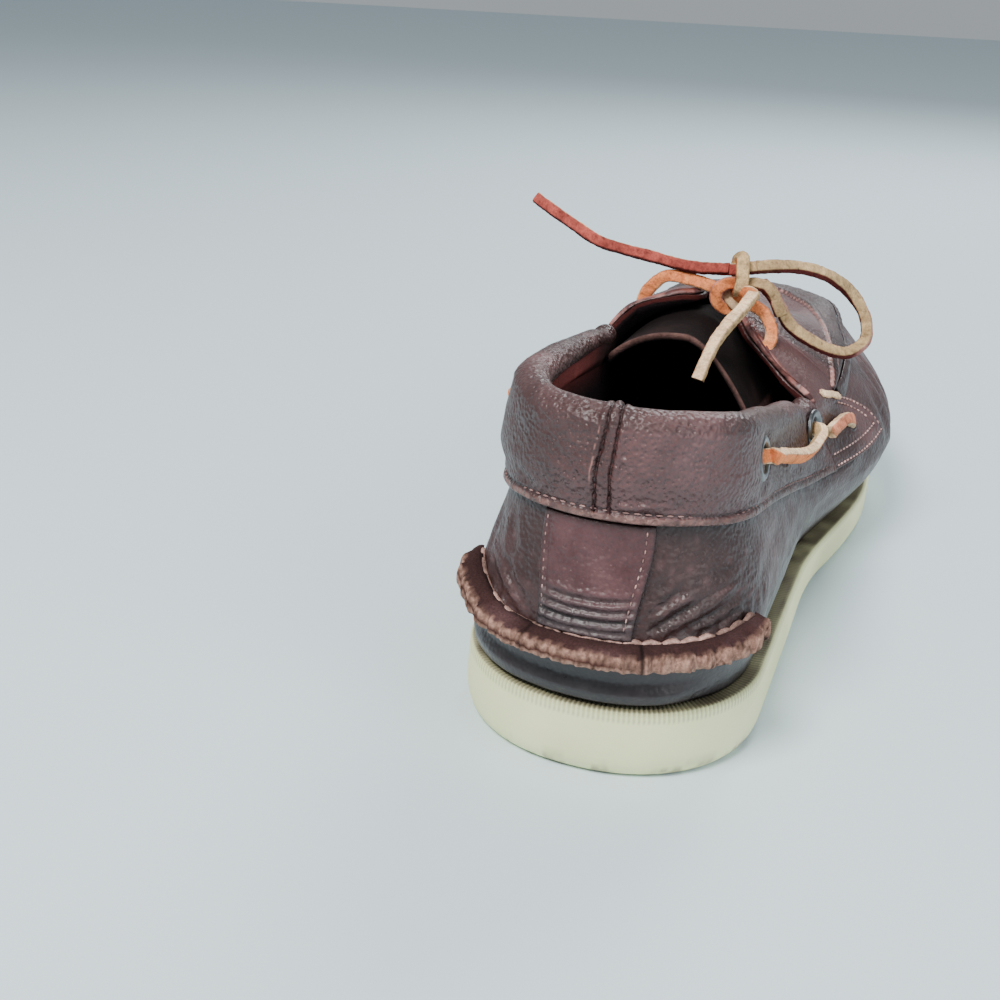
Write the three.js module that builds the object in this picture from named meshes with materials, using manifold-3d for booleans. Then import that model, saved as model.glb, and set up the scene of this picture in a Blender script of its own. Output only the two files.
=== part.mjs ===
// A boat shoe for the right foot, standing empty on its sole. Millimetres.
// x points to the outer side of the foot, y from heel to toe, z up from the floor.
import * as THREE from "three";
import { mergeVertices } from "three/addons/utils/BufferGeometryUtils.js";
import Module from "manifold-3d";

const wasm = await Module();
wasm.setup();

// Driving dimensions
const LENGTH = 298;
const HEEL_HALF = 39.5;
const BALL_HALF = 51.5;
const TOE_SWING = 9;
const HEEL_THICK = 19;
const FORE_THICK = 13;
const TOE_SPRING = 9;
const WAIST_HOLLOW = 3;
const COLLAR_TOP = 91.5;
const INSTEP_TOP = 88.5;
const TOE_TOP = 55;
const LEDGE = 4.2;
const WAIST_TUCK = 2.4;
const WALL = 2;
const GAP = 0.3;
const INSOLE_THICK = 3;
const TONGUE_THICK = 2.2;
const COLLAR_PAD = 4;
const COLLAR_EDGE = 1.8;
const COLLAR_LINING = 3;
const LINING_EDGE = 1.1;
const OVERLAY = 1.6;
const SEAT = 0.35;
const MOC_WIDTH = 3.2;
const MOC_HEIGHT = 2.4;
const HEEL_SEAM_REACH = 5.6;
const LACE = 3.6;
const EYELET_BORE = 3.5;
const EYELET_BARREL = 4.1;
const EYELET_FLANGE = 5.9;
const EYELET_LIP = 0.8;
const EYELET_SEAT = 1.1;
const PUNCHED_HOLE = 2.9;

// Shares along the shoe where the bottom changes
const SPRING_FROM = 0.68;
const SPRING_POWER = 1.6;
const SWING_FROM = 0.38;
const WAIST = { rise: { from: 0.27, to: 0.4 }, fall: { from: 0.4, to: 0.53 } };
const HEEL_TO_FORE = { from: 0.2, to: 0.58 };
const HEEL_TO_BALL = { from: 0.35, to: 0.65 };
const COLLAR_TO_INSTEP = { from: 0.1, to: 0.45 };
const INSTEP_TO_TOE = { from: 0.55, to: 0.97 };

// Basic curves
const clamp = (x, a, b) => Math.min(Math.max(x, a), b);
const mix = (a, b, q) => a + (b - a) * q;

function smooth(x, a, b) {
  const q = clamp((x - a) / (b - a), 0, 1);
  return q * q * (3 - 2 * q);
}

function hermite(q, h, p0, p1, m0, m1) {
  const r = 1 - q;
  return p0 * (1 + 2 * q) * r * r + h * m0 * q * r * r + p1 * q * q * (3 - 2 * q) - h * m1 * q * q * r;
}

// Value of one column of a table at a share along it, on a smooth curve
function curve(rows, key, along) {
  const last = rows.length - 1;
  const t = clamp(along, rows[0].along, rows[last].along);
  let i = 0;
  while (i < last - 1 && t > rows[i + 1].along) i += 1;
  const step = (k) => rows[k + 1].along - rows[k].along;
  const slope = (k) => (rows[k + 1][key] - rows[k][key]) / step(k);
  const tangent = (k) => {
    if (k === 0) return slope(0);
    if (k === last) return slope(last - 1);
    return (slope(k - 1) * step(k) + slope(k) * step(k - 1)) / (step(k) + step(k - 1));
  };
  const q = (t - rows[i].along) / step(i);
  return hermite(q, step(i), rows[i][key], rows[i + 1][key], tangent(i), tangent(i + 1));
}

// How the width closes round the heel and the toe
function rounding(d, total, heelDepth, toeDepth, heelPower, toePower) {
  const a = clamp(1 - d / heelDepth, 0, 1);
  const b = clamp(1 - (total - d) / toeDepth, 0, 1);
  return (1 - a ** heelPower) ** (1 / heelPower) * (1 - b ** toePower) ** (1 / toePower);
}

// The last: centre line, bottom, featherline, crown and half width along the shoe
const beyond = (y, from, most) => clamp((y / LENGTH - from) / (1 - from), 0, most) ** SPRING_POWER;
const axis = (y) => -TOE_SWING * beyond(y, SWING_FROM, 1.05);
const spring = (y) => TOE_SPRING * beyond(y, SPRING_FROM, 1);
const within = (y, { from, to }) => smooth(y / LENGTH, from, to);
const hollow = (y) => WAIST_HOLLOW * within(y, WAIST.rise) * (1 - within(y, WAIST.fall));
const soleTop = (y) => mix(HEEL_THICK, FORE_THICK, within(y, HEEL_TO_FORE)) + spring(y);
const halfWidth = (y) => mix(HEEL_HALF, BALL_HALF, within(y, HEEL_TO_BALL));

function crown(y) {
  const back = mix(COLLAR_TOP, INSTEP_TOP, within(y, COLLAR_TO_INSTEP));
  return back + (TOE_TOP - INSTEP_TOP) * within(y, INSTEP_TO_TOE);
}

// The sole's outline: half widths as shares of halfWidth
const OUTLINE = {
  back: 0, front: 1, heelDepth: 0.962, toeDepth: 1.553, heelPower: 2.15, toePower: 2.2, crowd: 0,
  rows: [
    { along: 0, outer: 0.99, inner: 0.99 },
    { along: 0.14, outer: 1, inner: 0.99 },
    { along: 0.26, outer: 1, inner: 0.9 },
    { along: 0.4, outer: 1, inner: 0.72 },
    { along: 0.52, outer: 0.99, inner: 0.72 },
    { along: 0.64, outer: 1, inner: 0.84 },
    { along: 0.76, outer: 1, inner: 0.97 },
    { along: 0.9, outer: 0.93, inner: 1 },
    { along: 1, outer: 0.86, inner: 0.98 },
  ],
};

// Levels of the upper above the featherline, from the ball line up to the topline. Half widths are
// shares of halfWidth, rises are shares of the height from the sole's top to the crown, depths and
// backs are shares of HEEL_HALF, toe depths of BALL_HALF and fronts of LENGTH.
const LEVELS = [
  {
    back: 0.051, front: 0.997, heelDepth: 0.937, toeDepth: 1.398, heelPower: 2.1, toePower: 2.25, crowd: 0,
    rows: [
      { along: 0, outer: 0.93, inner: 0.93, riseOuter: 0.2, riseInner: 0.2 },
      { along: 0.14, outer: 0.94, inner: 0.94, riseOuter: 0.2, riseInner: 0.2 },
      { along: 0.26, outer: 0.95, inner: 0.88, riseOuter: 0.21, riseInner: 0.21 },
      { along: 0.4, outer: 0.97, inner: 0.8, riseOuter: 0.22, riseInner: 0.22 },
      { along: 0.52, outer: 1.07, inner: 0.84, riseOuter: 0.24, riseInner: 0.24 },
      { along: 0.64, outer: 1.09, inner: 0.92, riseOuter: 0.25, riseInner: 0.25 },
      { along: 0.76, outer: 1.05, inner: 0.99, riseOuter: 0.27, riseInner: 0.27 },
      { along: 0.9, outer: 0.92, inner: 1, riseOuter: 0.3, riseInner: 0.3 },
      { along: 1, outer: 0.84, inner: 0.96, riseOuter: 0.33, riseInner: 0.33 },
    ],
  },
  {
    back: 0.241, front: 0.95, heelDepth: 0.835, toeDepth: 1.282, heelPower: 2.1, toePower: 2.4, crowd: 0,
    rows: [
      { along: 0, outer: 0.76, inner: 0.76, riseOuter: 0.62, riseInner: 0.62 },
      { along: 0.14, outer: 0.77, inner: 0.78, riseOuter: 0.59, riseInner: 0.61 },
      { along: 0.26, outer: 0.77, inner: 0.79, riseOuter: 0.53, riseInner: 0.58 },
      { along: 0.38, outer: 0.81, inner: 0.81, riseOuter: 0.49, riseInner: 0.56 },
      { along: 0.5, outer: 0.82, inner: 0.77, riseOuter: 0.55, riseInner: 0.6 },
      { along: 0.62, outer: 0.77, inner: 0.71, riseOuter: 0.63, riseInner: 0.65 },
      { along: 0.76, outer: 0.67, inner: 0.7, riseOuter: 0.74, riseInner: 0.74 },
      { along: 0.9, outer: 0.62, inner: 0.7, riseOuter: 0.93, riseInner: 0.93 },
      { along: 1, outer: 0.58, inner: 0.7, riseOuter: 1, riseInner: 1 },
    ],
  },
  {
    back: 0.278, front: 0.765, heelDepth: 0.785, toeDepth: 1.165, heelPower: 2.1, toePower: 2.2, crowd: 0.1,
    rows: [
      { along: 0, outer: 0.72, inner: 0.72, riseOuter: 0.8, riseInner: 0.8 },
      { along: 0.14, outer: 0.71, inner: 0.76, riseOuter: 0.72, riseInner: 0.78 },
      { along: 0.26, outer: 0.67, inner: 0.78, riseOuter: 0.65, riseInner: 0.76 },
      { along: 0.4, outer: 0.72, inner: 0.8, riseOuter: 0.59, riseInner: 0.72 },
      { along: 0.52, outer: 0.8, inner: 0.79, riseOuter: 0.57, riseInner: 0.71 },
      { along: 0.62, outer: 0.75, inner: 0.73, riseOuter: 0.64, riseInner: 0.76 },
      { along: 0.74, outer: 0.56, inner: 0.57, riseOuter: 0.74, riseInner: 0.82 },
      { along: 0.87, outer: 0.43, inner: 0.44, riseOuter: 0.79, riseInner: 0.82 },
      { along: 1, outer: 0.35, inner: 0.39, riseOuter: 0.81, riseInner: 0.81 },
    ],
  },
  {
    back: 0.304, front: 0.564, heelDepth: 0.759, toeDepth: 0.388, heelPower: 2.1, toePower: 2, crowd: 0.3,
    rows: [
      { along: 0, outer: 0.68, inner: 0.68, riseOuter: 0.94, riseInner: 0.94 },
      { along: 0.12, outer: 0.69, inner: 0.69, riseOuter: 0.885, riseInner: 0.94 },
      { along: 0.25, outer: 0.68, inner: 0.73, riseOuter: 0.81, riseInner: 0.92 },
      { along: 0.42, outer: 0.68, inner: 0.77, riseOuter: 0.72, riseInner: 0.88 },
      { along: 0.58, outer: 0.71, inner: 0.78, riseOuter: 0.66, riseInner: 0.85 },
      { along: 0.7, outer: 0.76, inner: 0.785, riseOuter: 0.61, riseInner: 0.81 },
      { along: 0.735, outer: 0.74, inner: 0.76, riseOuter: 0.65, riseInner: 0.84 },
      { along: 0.755, outer: 0.57, inner: 0.59, riseOuter: 0.7, riseInner: 0.94 },
      { along: 0.775, outer: 0.33, inner: 0.34, riseOuter: 0.81, riseInner: 0.985 },
      { along: 0.81, outer: 0.18, inner: 0.19, riseOuter: 0.88, riseInner: 0.985 },
      { along: 0.9, outer: 0.15, inner: 0.15, riseOuter: 0.92, riseInner: 0.965 },
      { along: 1, outer: 0.14, inner: 0.14, riseOuter: 0.93, riseInner: 0.93 },
    ],
  },
];
const TOP = LEVELS.length;

// A turn s runs from the heel's middle (0) along the outer side to the toe (1) and, negative,
// along the inner side; this brings any s into that range.
const wrap = (s) => (s > 1 ? s - 2 : s < -1 ? s + 2 : s);

function levelPoint(level, turn) {
  const s = wrap(turn);
  const even = (1 - Math.cos(Math.PI * Math.abs(s))) / 2;
  const t = even + level.crowd * Math.sin(Math.PI * even) ** 2;
  const back = level.back * HEEL_HALF;
  const total = level.front * LENGTH - back;
  const y = back + total * t;
  const close = rounding(total * t, total, level.heelDepth * HEEL_HALF, level.toeDepth * BALL_HALF,
    level.heelPower, level.toePower);
  const width = curve(level.rows, s < 0 ? "inner" : "outer", t) * halfWidth(y) * close;
  const rise = "riseOuter" in level.rows[0] ? curve(level.rows, s < 0 ? "riseInner" : "riseOuter", t) : 0;
  return new THREE.Vector3(axis(y) + Math.sign(s) * width, y, mix(soleTop(y), crown(y), rise));
}

const STEP = 1e-3;

// The outline moved inward in plan
function insetOutline(s, inset) {
  const p = levelPoint(OUTLINE, s);
  const d = levelPoint(OUTLINE, s + STEP).sub(levelPoint(OUTLINE, s - STEP));
  const inward = new THREE.Vector3(-d.y, d.x, 0).normalize();
  return p.addScaledVector(inward, inset).setZ(0);
}

const tuck = (s) => (s > 0 ? WAIST_TUCK * smooth(s, 0.25, 0.42) * (1 - smooth(s, 0.42, 0.62)) : 0);

function feather(s) {
  const p = insetOutline(wrap(s), LEDGE + tuck(wrap(s)));
  return p.setZ(soleTop(p.y) + GAP);
}

// The outside of the upper: s round the shoe, v from 0 at the featherline to TOP at the topline
function skin(s, v) {
  const points = [feather(s), ...LEVELS.map((level) => levelPoint(level, s))];
  const chord = (k) => points[k + 1].distanceTo(points[k]);
  const slope = (k, axisName) => (points[k + 1][axisName] - points[k][axisName]) / chord(k);
  const inside = (k, axisName) => {
    const total = chord(k) + chord(k - 1);
    return (slope(k - 1, axisName) * chord(k) + slope(k, axisName) * chord(k - 1)) / total;
  };
  const tangent = (k, axisName) => {
    if (k === 0) return 1.5 * slope(0, axisName) - 0.5 * inside(1, axisName);
    if (k === TOP) return 1.5 * slope(TOP - 1, axisName) - 0.5 * inside(TOP - 1, axisName);
    return inside(k, axisName);
  };
  const i = clamp(Math.floor(v), 0, TOP - 1);
  const at = (name) => hermite(v - i, chord(i), points[i][name], points[i + 1][name],
    tangent(i, name), tangent(i + 1, name));
  return new THREE.Vector3(at("x"), at("y"), at("z"));
}

const rising = (s, v) => skin(s, v + STEP).sub(skin(s, v - STEP)).divideScalar(2 * STEP);

function outward(s, v) {
  const round = skin(s + STEP, v).sub(skin(s - STEP, v));
  return round.cross(rising(s, v)).normalize();
}

const over = (s, v, height) => skin(s, v).addScaledVector(outward(s, v), height);

// The way up from the topline, square to it and in the wall's own plane
function upward(s) {
  const round = skin(s + STEP, TOP).sub(skin(s - STEP, TOP));
  return outward(s, TOP).cross(round).normalize();
}

// Solids from rings of points. Caps are strips across each end ring; a ring that starts at a tip
// on the centre line pairs its points about that tip.
function loft(sections, { closed = false, tip = false } = {}) {
  const count = sections[0].length;
  const index = [];
  const id = (i, j) => i * count + (j % count);
  const spans = closed ? sections.length : sections.length - 1;
  for (let i = 0; i < spans; i += 1) {
    const next = (i + 1) % sections.length;
    for (let j = 0; j < count; j += 1) {
      index.push(id(i, j), id(next, j), id(next, j + 1), id(i, j), id(next, j + 1), id(i, j + 1));
    }
  }
  const cap = (i, flip) => {
    let a = tip ? 1 : 0;
    let b = count - 1;
    const add = (p, q, r) => index.push(...(flip ? [id(i, p), id(i, r), id(i, q)] : [id(i, p), id(i, q), id(i, r)]));
    if (tip) add(0, 1, count - 1);
    while (b - a > 1) {
      add(a, a + 1, b);
      a += 1;
      if (b - a > 1) {
        add(a, b - 1, b);
        b -= 1;
      }
    }
  };
  if (!closed) {
    cap(0, false);
    cap(sections.length - 1, true);
  }
  return orient(sections.flat(), index);
}

// A geometry with its faces pointing out
function orient(points, index) {
  let volume = 0;
  for (let k = 0; k < index.length; k += 3) {
    const [a, b, c] = [points[index[k]], points[index[k + 1]], points[index[k + 2]]];
    volume += a.dot(new THREE.Vector3().crossVectors(b, c));
  }
  const faces = volume > 0 ? index : index.slice().reverse();
  const geometry = new THREE.BufferGeometry();
  geometry.setAttribute("position", new THREE.Float32BufferAttribute(points.flatMap((p) => p.toArray()), 3));
  geometry.setIndex(faces);
  return geometry;
}

const range = (count) => Array.from({ length: count }, (_, i) => i);
const spread = (a, b, steps) => range(steps + 1).map((i) => mix(a, b, i / steps));

// Turns round the whole shoe, closer together where the throat bends
const CORNER = 0.455;
const SIDE_TURNS = [
  ...spread(0, CORNER, 11), ...spread(CORNER, 0.5, 5).slice(1), ...spread(0.5, 0.65, 5).slice(1),
  ...spread(0.65, 1, 7).slice(1),
];
const RING = [...SIDE_TURNS, ...SIDE_TURNS.slice(1, -1).reverse().map((s) => -s)];

// Rubber sole: flat tread at heel and forefoot, hollow waist, toe spring, ledge round the upper
const SOLE_SIDE = [
  { inset: 3.4, height: 0 },
  { inset: 1.1, height: 0.07 },
  { inset: 0, height: 0.3 },
  { inset: 0.5, height: 0.88 },
  { inset: 1.1, height: 1 },
];

function outsole() {
  return loft(SOLE_SIDE.map(({ inset, height }) => RING.map((s) => {
    const p = insetOutline(s, inset);
    return p.setZ(mix(spring(p.y) + hollow(p.y), soleTop(p.y), height));
  })), { tip: true });
}

function insole() {
  const inset = LEDGE + WALL + 3 * GAP;
  return loft([0, INSOLE_THICK].map((height) => RING.map((s) => {
    const p = insetOutline(s, inset + tuck(s));
    return p.setZ(soleTop(p.y) + GAP + height);
  })), { tip: true });
}

// One hollow solid: outside and inside of the wall, open at the topline and underneath
const WALL_ROWS = [0, 0.35, 0.7, 1.1, 1.6, 2.1, 2.6, 3.1, 3.6, TOP];

function upper() {
  return loft(RING.map((s) => [
    ...WALL_ROWS.map((v) => over(s, v, 0)),
    ...WALL_ROWS.slice().reverse().map((v) => over(s, v, -WALL)),
  ]), { closed: true });
}

// Tongue: an arched sheet from under the vamp back to the foot opening
const TONGUE = [
  { along: 0.362, centre: -0.1, half: 0.58, crest: 0.915, outerDrop: 0.345, innerDrop: 0.12 },
  { along: 0.42, centre: -0.105, half: 0.555, crest: 0.92, outerDrop: 0.37, innerDrop: 0.14 },
  { along: 0.47, centre: -0.11, half: 0.54, crest: 0.92, outerDrop: 0.38, innerDrop: 0.18 },
  { along: 0.52, centre: -0.08, half: 0.5, crest: 0.895, outerDrop: 0.36, innerDrop: 0.22 },
  { along: 0.565, centre: -0.04, half: 0.44, crest: 0.85, outerDrop: 0.3, innerDrop: 0.24 },
  { along: 0.61, centre: 0, half: 0.38, crest: 0.78, outerDrop: 0.22, innerDrop: 0.22 },
];
const TONGUE_POWER = { outer: 1.65, inner: 2.6 };

function tonguePoint(along, a, depth) {
  const y = along * LENGTH;
  const drop = a > 0
    ? curve(TONGUE, "outerDrop", along) * a ** TONGUE_POWER.outer
    : curve(TONGUE, "innerDrop", along) * (-a) ** TONGUE_POWER.inner;
  const x = axis(y) + (curve(TONGUE, "centre", along) + curve(TONGUE, "half", along) * a) * halfWidth(y);
  return new THREE.Vector3(x, y, mix(soleTop(y), crown(y), curve(TONGUE, "crest", along) - drop) - depth);
}

function tongue() {
  const across = spread(-1, 1, 12);
  return loft(spread(TONGUE[0].along, TONGUE[TONGUE.length - 1].along, 8).map((along) => [
    ...across.map((a) => tonguePoint(along, a, 0)),
    ...across.slice().reverse().map((a) => tonguePoint(along, a, TONGUE_THICK * (1 + a * a * 0.6))),
  ]));
}

const merged = (geometry) => {
  const bare = geometry.clone();
  bare.deleteAttribute("normal");
  bare.deleteAttribute("uv");
  return mergeVertices(bare, 1e-5);
};

function solid(geometry) {
  const closed = merged(geometry);
  const vertProperties = new Float32Array(closed.attributes.position.array);
  const triVerts = new Uint32Array(closed.index.array);
  return new wasm.Manifold(new wasm.Mesh({ numProp: 3, vertProperties, triVerts }));
}

function fromSolid(manifold) {
  const mesh = manifold.getMesh();
  const geometry = new THREE.BufferGeometry();
  geometry.setAttribute("position", new THREE.Float32BufferAttribute(mesh.vertProperties, 3));
  geometry.setIndex(Array.from(mesh.triVerts));
  return geometry;
}

// A second skin over the wall, from which the overlays are cut
const SKIN_ROWS = WALL_ROWS.filter((v) => v >= 1);

function secondSkin() {
  return solid(loft(RING.map((s) => [
    ...SKIN_ROWS.map((v) => over(s, v, SEAT)),
    ...SKIN_ROWS.slice().reverse().map((v) => over(s, v, SEAT + OVERLAY)),
  ]), { closed: true }));
}

const SECOND_SKIN = secondSkin();
const CUTTER = { inner: -1, outer: 4.5 };

// An overlay is the second skin within an outline, given by a turn and a level for shares a and b
function overlay({ along, across, turn, level }) {
  const cutter = loft(along.map((a) => {
    const line = (height) => across.map((b) => {
      const v = level(a, b);
      return over(turn(a, v), v, height);
    });
    return [...line(CUTTER.outer), ...line(CUTTER.inner).reverse()];
  }));
  return fromSolid(SECOND_SKIN.intersect(solid(cutter)));
}

const climb = (s, v, distance) => v + distance / rising(s, v).length();

// Where the collar's lower seam runs, and where the collar ends beside the throat
const COLLAR_SEAM = [
  { along: 0, level: 2.07 },
  { along: 0.05, level: 2.06 },
  { along: 0.14, level: 1.97 },
  { along: 0.21, level: 1.9 },
  { along: 0.36, level: 1.62 },
  { along: 0.47, level: 1.3 },
  { along: 0.51, level: 1.26 },
  { along: 0.553, level: 1.28 },
];
const COLLAR_END = [
  { along: 1.2, turn: 0.464 },
  { along: 2, turn: 0.461 },
  { along: 3, turn: 0.461 },
  { along: 3.6, turn: 0.456 },
  { along: 4, turn: CORNER },
];
const collarSeam = (s) => curve(COLLAR_SEAM, "level", Math.abs(s));
const collarEnd = (v) => curve(COLLAR_END, "turn", v);

// Padded collar: outer leg down to its seam, a roll over the topline and a short lining inside.
// It is a thicker skin, round the whole topline, cut off at its seam and beside the throat.
const COLLAR_ROWS = WALL_ROWS.filter((v) => v >= 1);
const COLLAR_ROLL = [0.3, 0.7];
const COLLAR_INSIDE = [TOP, 3.6];
const PAD_RISE = 0.8;

function collarSkin(s) {
  const seam = collarSeam(s);
  const pad = (v) => mix(COLLAR_EDGE, COLLAR_PAD, smooth(v, seam, seam + PAD_RISE));
  const lining = mix(COLLAR_LINING, LINING_EDGE, smooth(Math.abs(s), 0.3, 0.42));
  const centre = over(s, TOP, -WALL / 2);
  const out = outward(s, TOP);
  const up = upward(s);
  const roll = (from, to) => COLLAR_ROLL.map((q) => {
    const angle = Math.PI * q;
    const radius = WALL / 2 + SEAT + mix(from, to, q);
    return centre.clone().addScaledVector(out, radius * Math.cos(angle)).addScaledVector(up, radius * Math.sin(angle));
  });
  const leg = (thick) => COLLAR_ROWS.map((v) => over(s, v, SEAT + thick(v)));
  const inside = (thick) => COLLAR_INSIDE.map((v) => over(s, v, -(WALL + SEAT + thick)));
  return [
    ...leg(() => 0), ...roll(0, 0), ...inside(0),
    ...[...leg(pad), ...roll(COLLAR_PAD, lining), ...inside(lining)].reverse(),
  ];
}

const COLLAR_REACH = 9;
const END_SHARES = spread(0, 1, 6);
const COLLAR_SECTIONS = 20;

function collar() {
  const cutter = loft(spread(-1, 1, COLLAR_SECTIONS).map((a) => {
    const seam = collarSeam(collarEnd(2) * a);
    const at = (v, height) => over(collarEnd(v) * a, v, height);
    const rim = collarEnd(TOP) * a;
    const up = upward(rim).multiplyScalar(COLLAR_REACH);
    const levels = END_SHARES.map((b) => mix(seam, TOP, b));
    return [
      ...levels.map((v) => at(v, COLLAR_REACH)), at(TOP, COLLAR_REACH).add(up), at(TOP, -COLLAR_REACH).add(up),
      at(TOP, -COLLAR_REACH), at(3.2, -COLLAR_REACH), at(3.2, -WALL / 2), at(seam, -WALL / 2),
    ];
  }));
  return fromSolid(solid(loft(RING.map(collarSkin), { closed: true })).intersect(solid(cutter)));
}

// Leather patch down the back, from the collar's seam to the raised heel seam
const PATCH = { low: 1.17, halfLow: 0.048, halfHigh: 0.066 };

function heelPatch() {
  const high = (s) => climb(s, collarSeam(s), -SEAT);
  return overlay({
    along: spread(-1, 1, 6),
    across: spread(0, 1, 4),
    turn: (a, v) => a * mix(PATCH.halfLow, PATCH.halfHigh, smooth(v, PATCH.low, 2)),
    level: (a, b) => mix(PATCH.low, high(a * PATCH.halfHigh), b),
  });
}

// Raised heel seam: two raw edges sewn together, standing out round the heel and drooping a little
const HEEL_SEAM = { end: 0.195, fade: 0.12, least: 0.4, innerRise: 0.15, outerRise: 0.03 };
const HEEL_SEAM_LIP = [
  { level: 1.12, reach: 0 },
  { level: 1.1, reach: 0.6 },
  { level: 1.06, reach: 1 },
  { level: 0.93, reach: 1.02 },
  { level: 0.9, reach: 0.6 },
  { level: 0.93, reach: 0 },
];

const seamRise = (s) => (s < 0
  ? HEEL_SEAM.innerRise * smooth(-s, 0.08, 0.18)
  : HEEL_SEAM.outerRise * smooth(s, 0.12, 0.19));

function heelSeam() {
  return loft(spread(-1, 1, 20).map((a) => {
    const s = a * HEEL_SEAM.end;
    const full = mix(1, HEEL_SEAM.least, smooth(Math.abs(a), 1 - HEEL_SEAM.fade, 1));
    const stands = (reach) => 2 * GAP + reach * HEEL_SEAM_REACH * full;
    return HEEL_SEAM_LIP.map(({ level, reach }) => over(s, level + seamRise(s), stands(reach)));
  }));
}

// The moc seam runs at one level round the toes; the wings and stays lie beside the throat
const MOC_LEVEL = 2.12;
const MOC_FOOT = 1.95;
const EDGE_GAP = 0.004;
const STAY_FRONT = [
  { along: 1.28, outer: 0.553, inner: 0.553 },
  { along: 1.54, outer: 0.545, inner: 0.546 },
  { along: 1.78, outer: 0.531, inner: 0.536 },
  { along: 2.1, outer: 0.512, inner: 0.526 },
  { along: 2.6, outer: 0.513, inner: 0.545 },
  { along: 3, outer: 0.523, inner: 0.56 },
  { along: 3.4, outer: 0.53, inner: 0.57 },
  { along: 4, outer: 0.525, inner: 0.55 },
];
const stayBack = (v) => collarEnd(v) + EDGE_GAP * (1 + 1.5 * smooth(v, 3, 3.6));
const stayFront = (side, v) => curve(STAY_FRONT, side > 0 ? "outer" : "inner", v);

function stay(side) {
  const seam = (s) => collarSeam(s);
  return overlay({
    along: spread(0, 1, 5),
    across: END_SHARES,
    turn: (a, v) => side * mix(stayBack(v), stayFront(side, v), a),
    level: (a, b) => mix(seam(mix(collarEnd(2), stayFront(side, 1.3), a)), TOP, b),
  });
}

// The plug fills the top of the vamp inside the moc seam
function plug() {
  const from = (v) => stayFront(1, v) + EDGE_GAP;
  const to = (v) => 2 - stayFront(-1, v) - EDGE_GAP;
  const low = (a) => climb(mix(from(2.2), to(2.2), a), MOC_LEVEL, MOC_WIDTH / 2 + 3 * GAP);
  return overlay({
    along: spread(0, 1, 20),
    across: spread(0, 1, 4),
    turn: (a, v) => mix(from(v), to(v), a),
    level: (a, b) => mix(low(a), TOP, b),
  });
}

const MOC_RIDGE = [
  { across: -0.5, height: 0 },
  { across: -0.42, height: 0.7 },
  { across: 0, height: 1 },
  { across: 0.42, height: 0.85 },
  { across: 0.5, height: 0 },
];

function mocSeam() {
  const from = stayFront(1, MOC_FOOT) + EDGE_GAP;
  const to = 2 - stayFront(-1, MOC_FOOT) - EDGE_GAP;
  return loft(spread(from, to, 28).map((s) => MOC_RIDGE.map(({ across, height }) =>
    over(s, climb(s, MOC_LEVEL, across * MOC_WIDTH), 2 * GAP + height * MOC_HEIGHT))));
}

// Holes for the lace
const HOLES = [
  { name: "outer_rear", s: 0.252, v: 3.14, metal: true },
  { name: "outer_front", s: 0.436, v: 2.8, metal: true },
  { name: "inner_rear", s: -0.266, v: 3.1, metal: true },
  { name: "inner_front", s: -0.436, v: 2.8, metal: true },
  { name: "outer_wing", s: 0.507, v: 1.65, metal: false },
  { name: "inner_wing", s: -0.507, v: 1.65, metal: false },
  { name: "outer_top", s: 0.499, v: 3.74, metal: false },
  { name: "inner_top", s: -0.515, v: 3.45, metal: false },
];
const hole = (name) => HOLES.find((one) => one.name === name);

// Turns a piece made along z so that it stands on the wall at s, v
function stand(geometry, { s, v }) {
  const turn = new THREE.Quaternion().setFromUnitVectors(new THREE.Vector3(0, 0, 1), outward(s, v));
  return geometry.applyQuaternion(turn).translate(...skin(s, v).toArray());
}

const DRILL = { length: 24, sides: 8 };

function pierced(geometry, names) {
  const drills = names.map((name) => {
    const radius = (hole(name).metal ? EYELET_BARREL + GAP : PUNCHED_HOLE) / Math.cos(Math.PI / DRILL.sides);
    const drill = new THREE.CylinderGeometry(radius, radius, DRILL.length, DRILL.sides).rotateX(Math.PI / 2);
    return solid(stand(drill, hole(name)));
  });
  return fromSolid(drills.reduce((rest, drill) => rest.subtract(drill), solid(geometry)));
}

// Metal eyelet: a barrel through pad and wall with a flange outside
function eyelet(place) {
  const face = SEAT + COLLAR_PAD + EYELET_SEAT;
  const profile = [
    [EYELET_BORE, -WALL], [EYELET_BARREL, -WALL], [EYELET_BARREL, face], [EYELET_FLANGE, face],
    [EYELET_FLANGE - 0.7, face + EYELET_LIP], [EYELET_BORE, face + EYELET_LIP], [EYELET_BORE, -WALL],
  ].map(([r, z]) => new THREE.Vector2(r, z));
  const ring = new THREE.LatheGeometry(profile, 10).rotateX(Math.PI / 2);
  return stand(merged(ring), place);
}

// Lace: a round thong along a smooth path
function thong(points, steps) {
  const section = new THREE.Shape();
  const sides = 8;
  range(sides).forEach((k) => {
    const angle = ((k + 0.5) * 2 * Math.PI) / sides;
    const [x, y] = [Math.cos(angle) * LACE / 2, Math.sin(angle) * LACE / 2];
    if (k === 0) section.moveTo(x, y);
    else section.lineTo(x, y);
  });
  const path = new THREE.CatmullRomCurve3(points, false, "centripetal");
  return new THREE.ExtrudeGeometry(section, { extrudePath: path, steps, bevelEnabled: false, curveSegments: 1 });
}

const PAD_FACE = SEAT + COLLAR_PAD;
const STAY_FACE = SEAT + OVERLAY;

// The side run lies on the collar between its two eyelets and sags towards the front one.
// Each row is a share of the way, how far the level drops, and the height over the pad in laces.
const SIDE_RUN = [
  { share: 0.045, drop: 0.03, height: 1.33 },
  { share: 0.14, drop: 0.22, height: 1.28 },
  { share: 0.3, drop: 0.52, height: 0.9 },
  { share: 0.5, drop: 0.72, height: 0.78 },
  { share: 0.7, drop: 0.8, height: 0.78 },
  { share: 0.86, drop: 0.6, height: 1 },
  { share: 0.95, drop: 0.28, height: 1.28 },
];
const ENTRY = { side: 0.61, throat: 0.39, inside: 1 };

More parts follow.
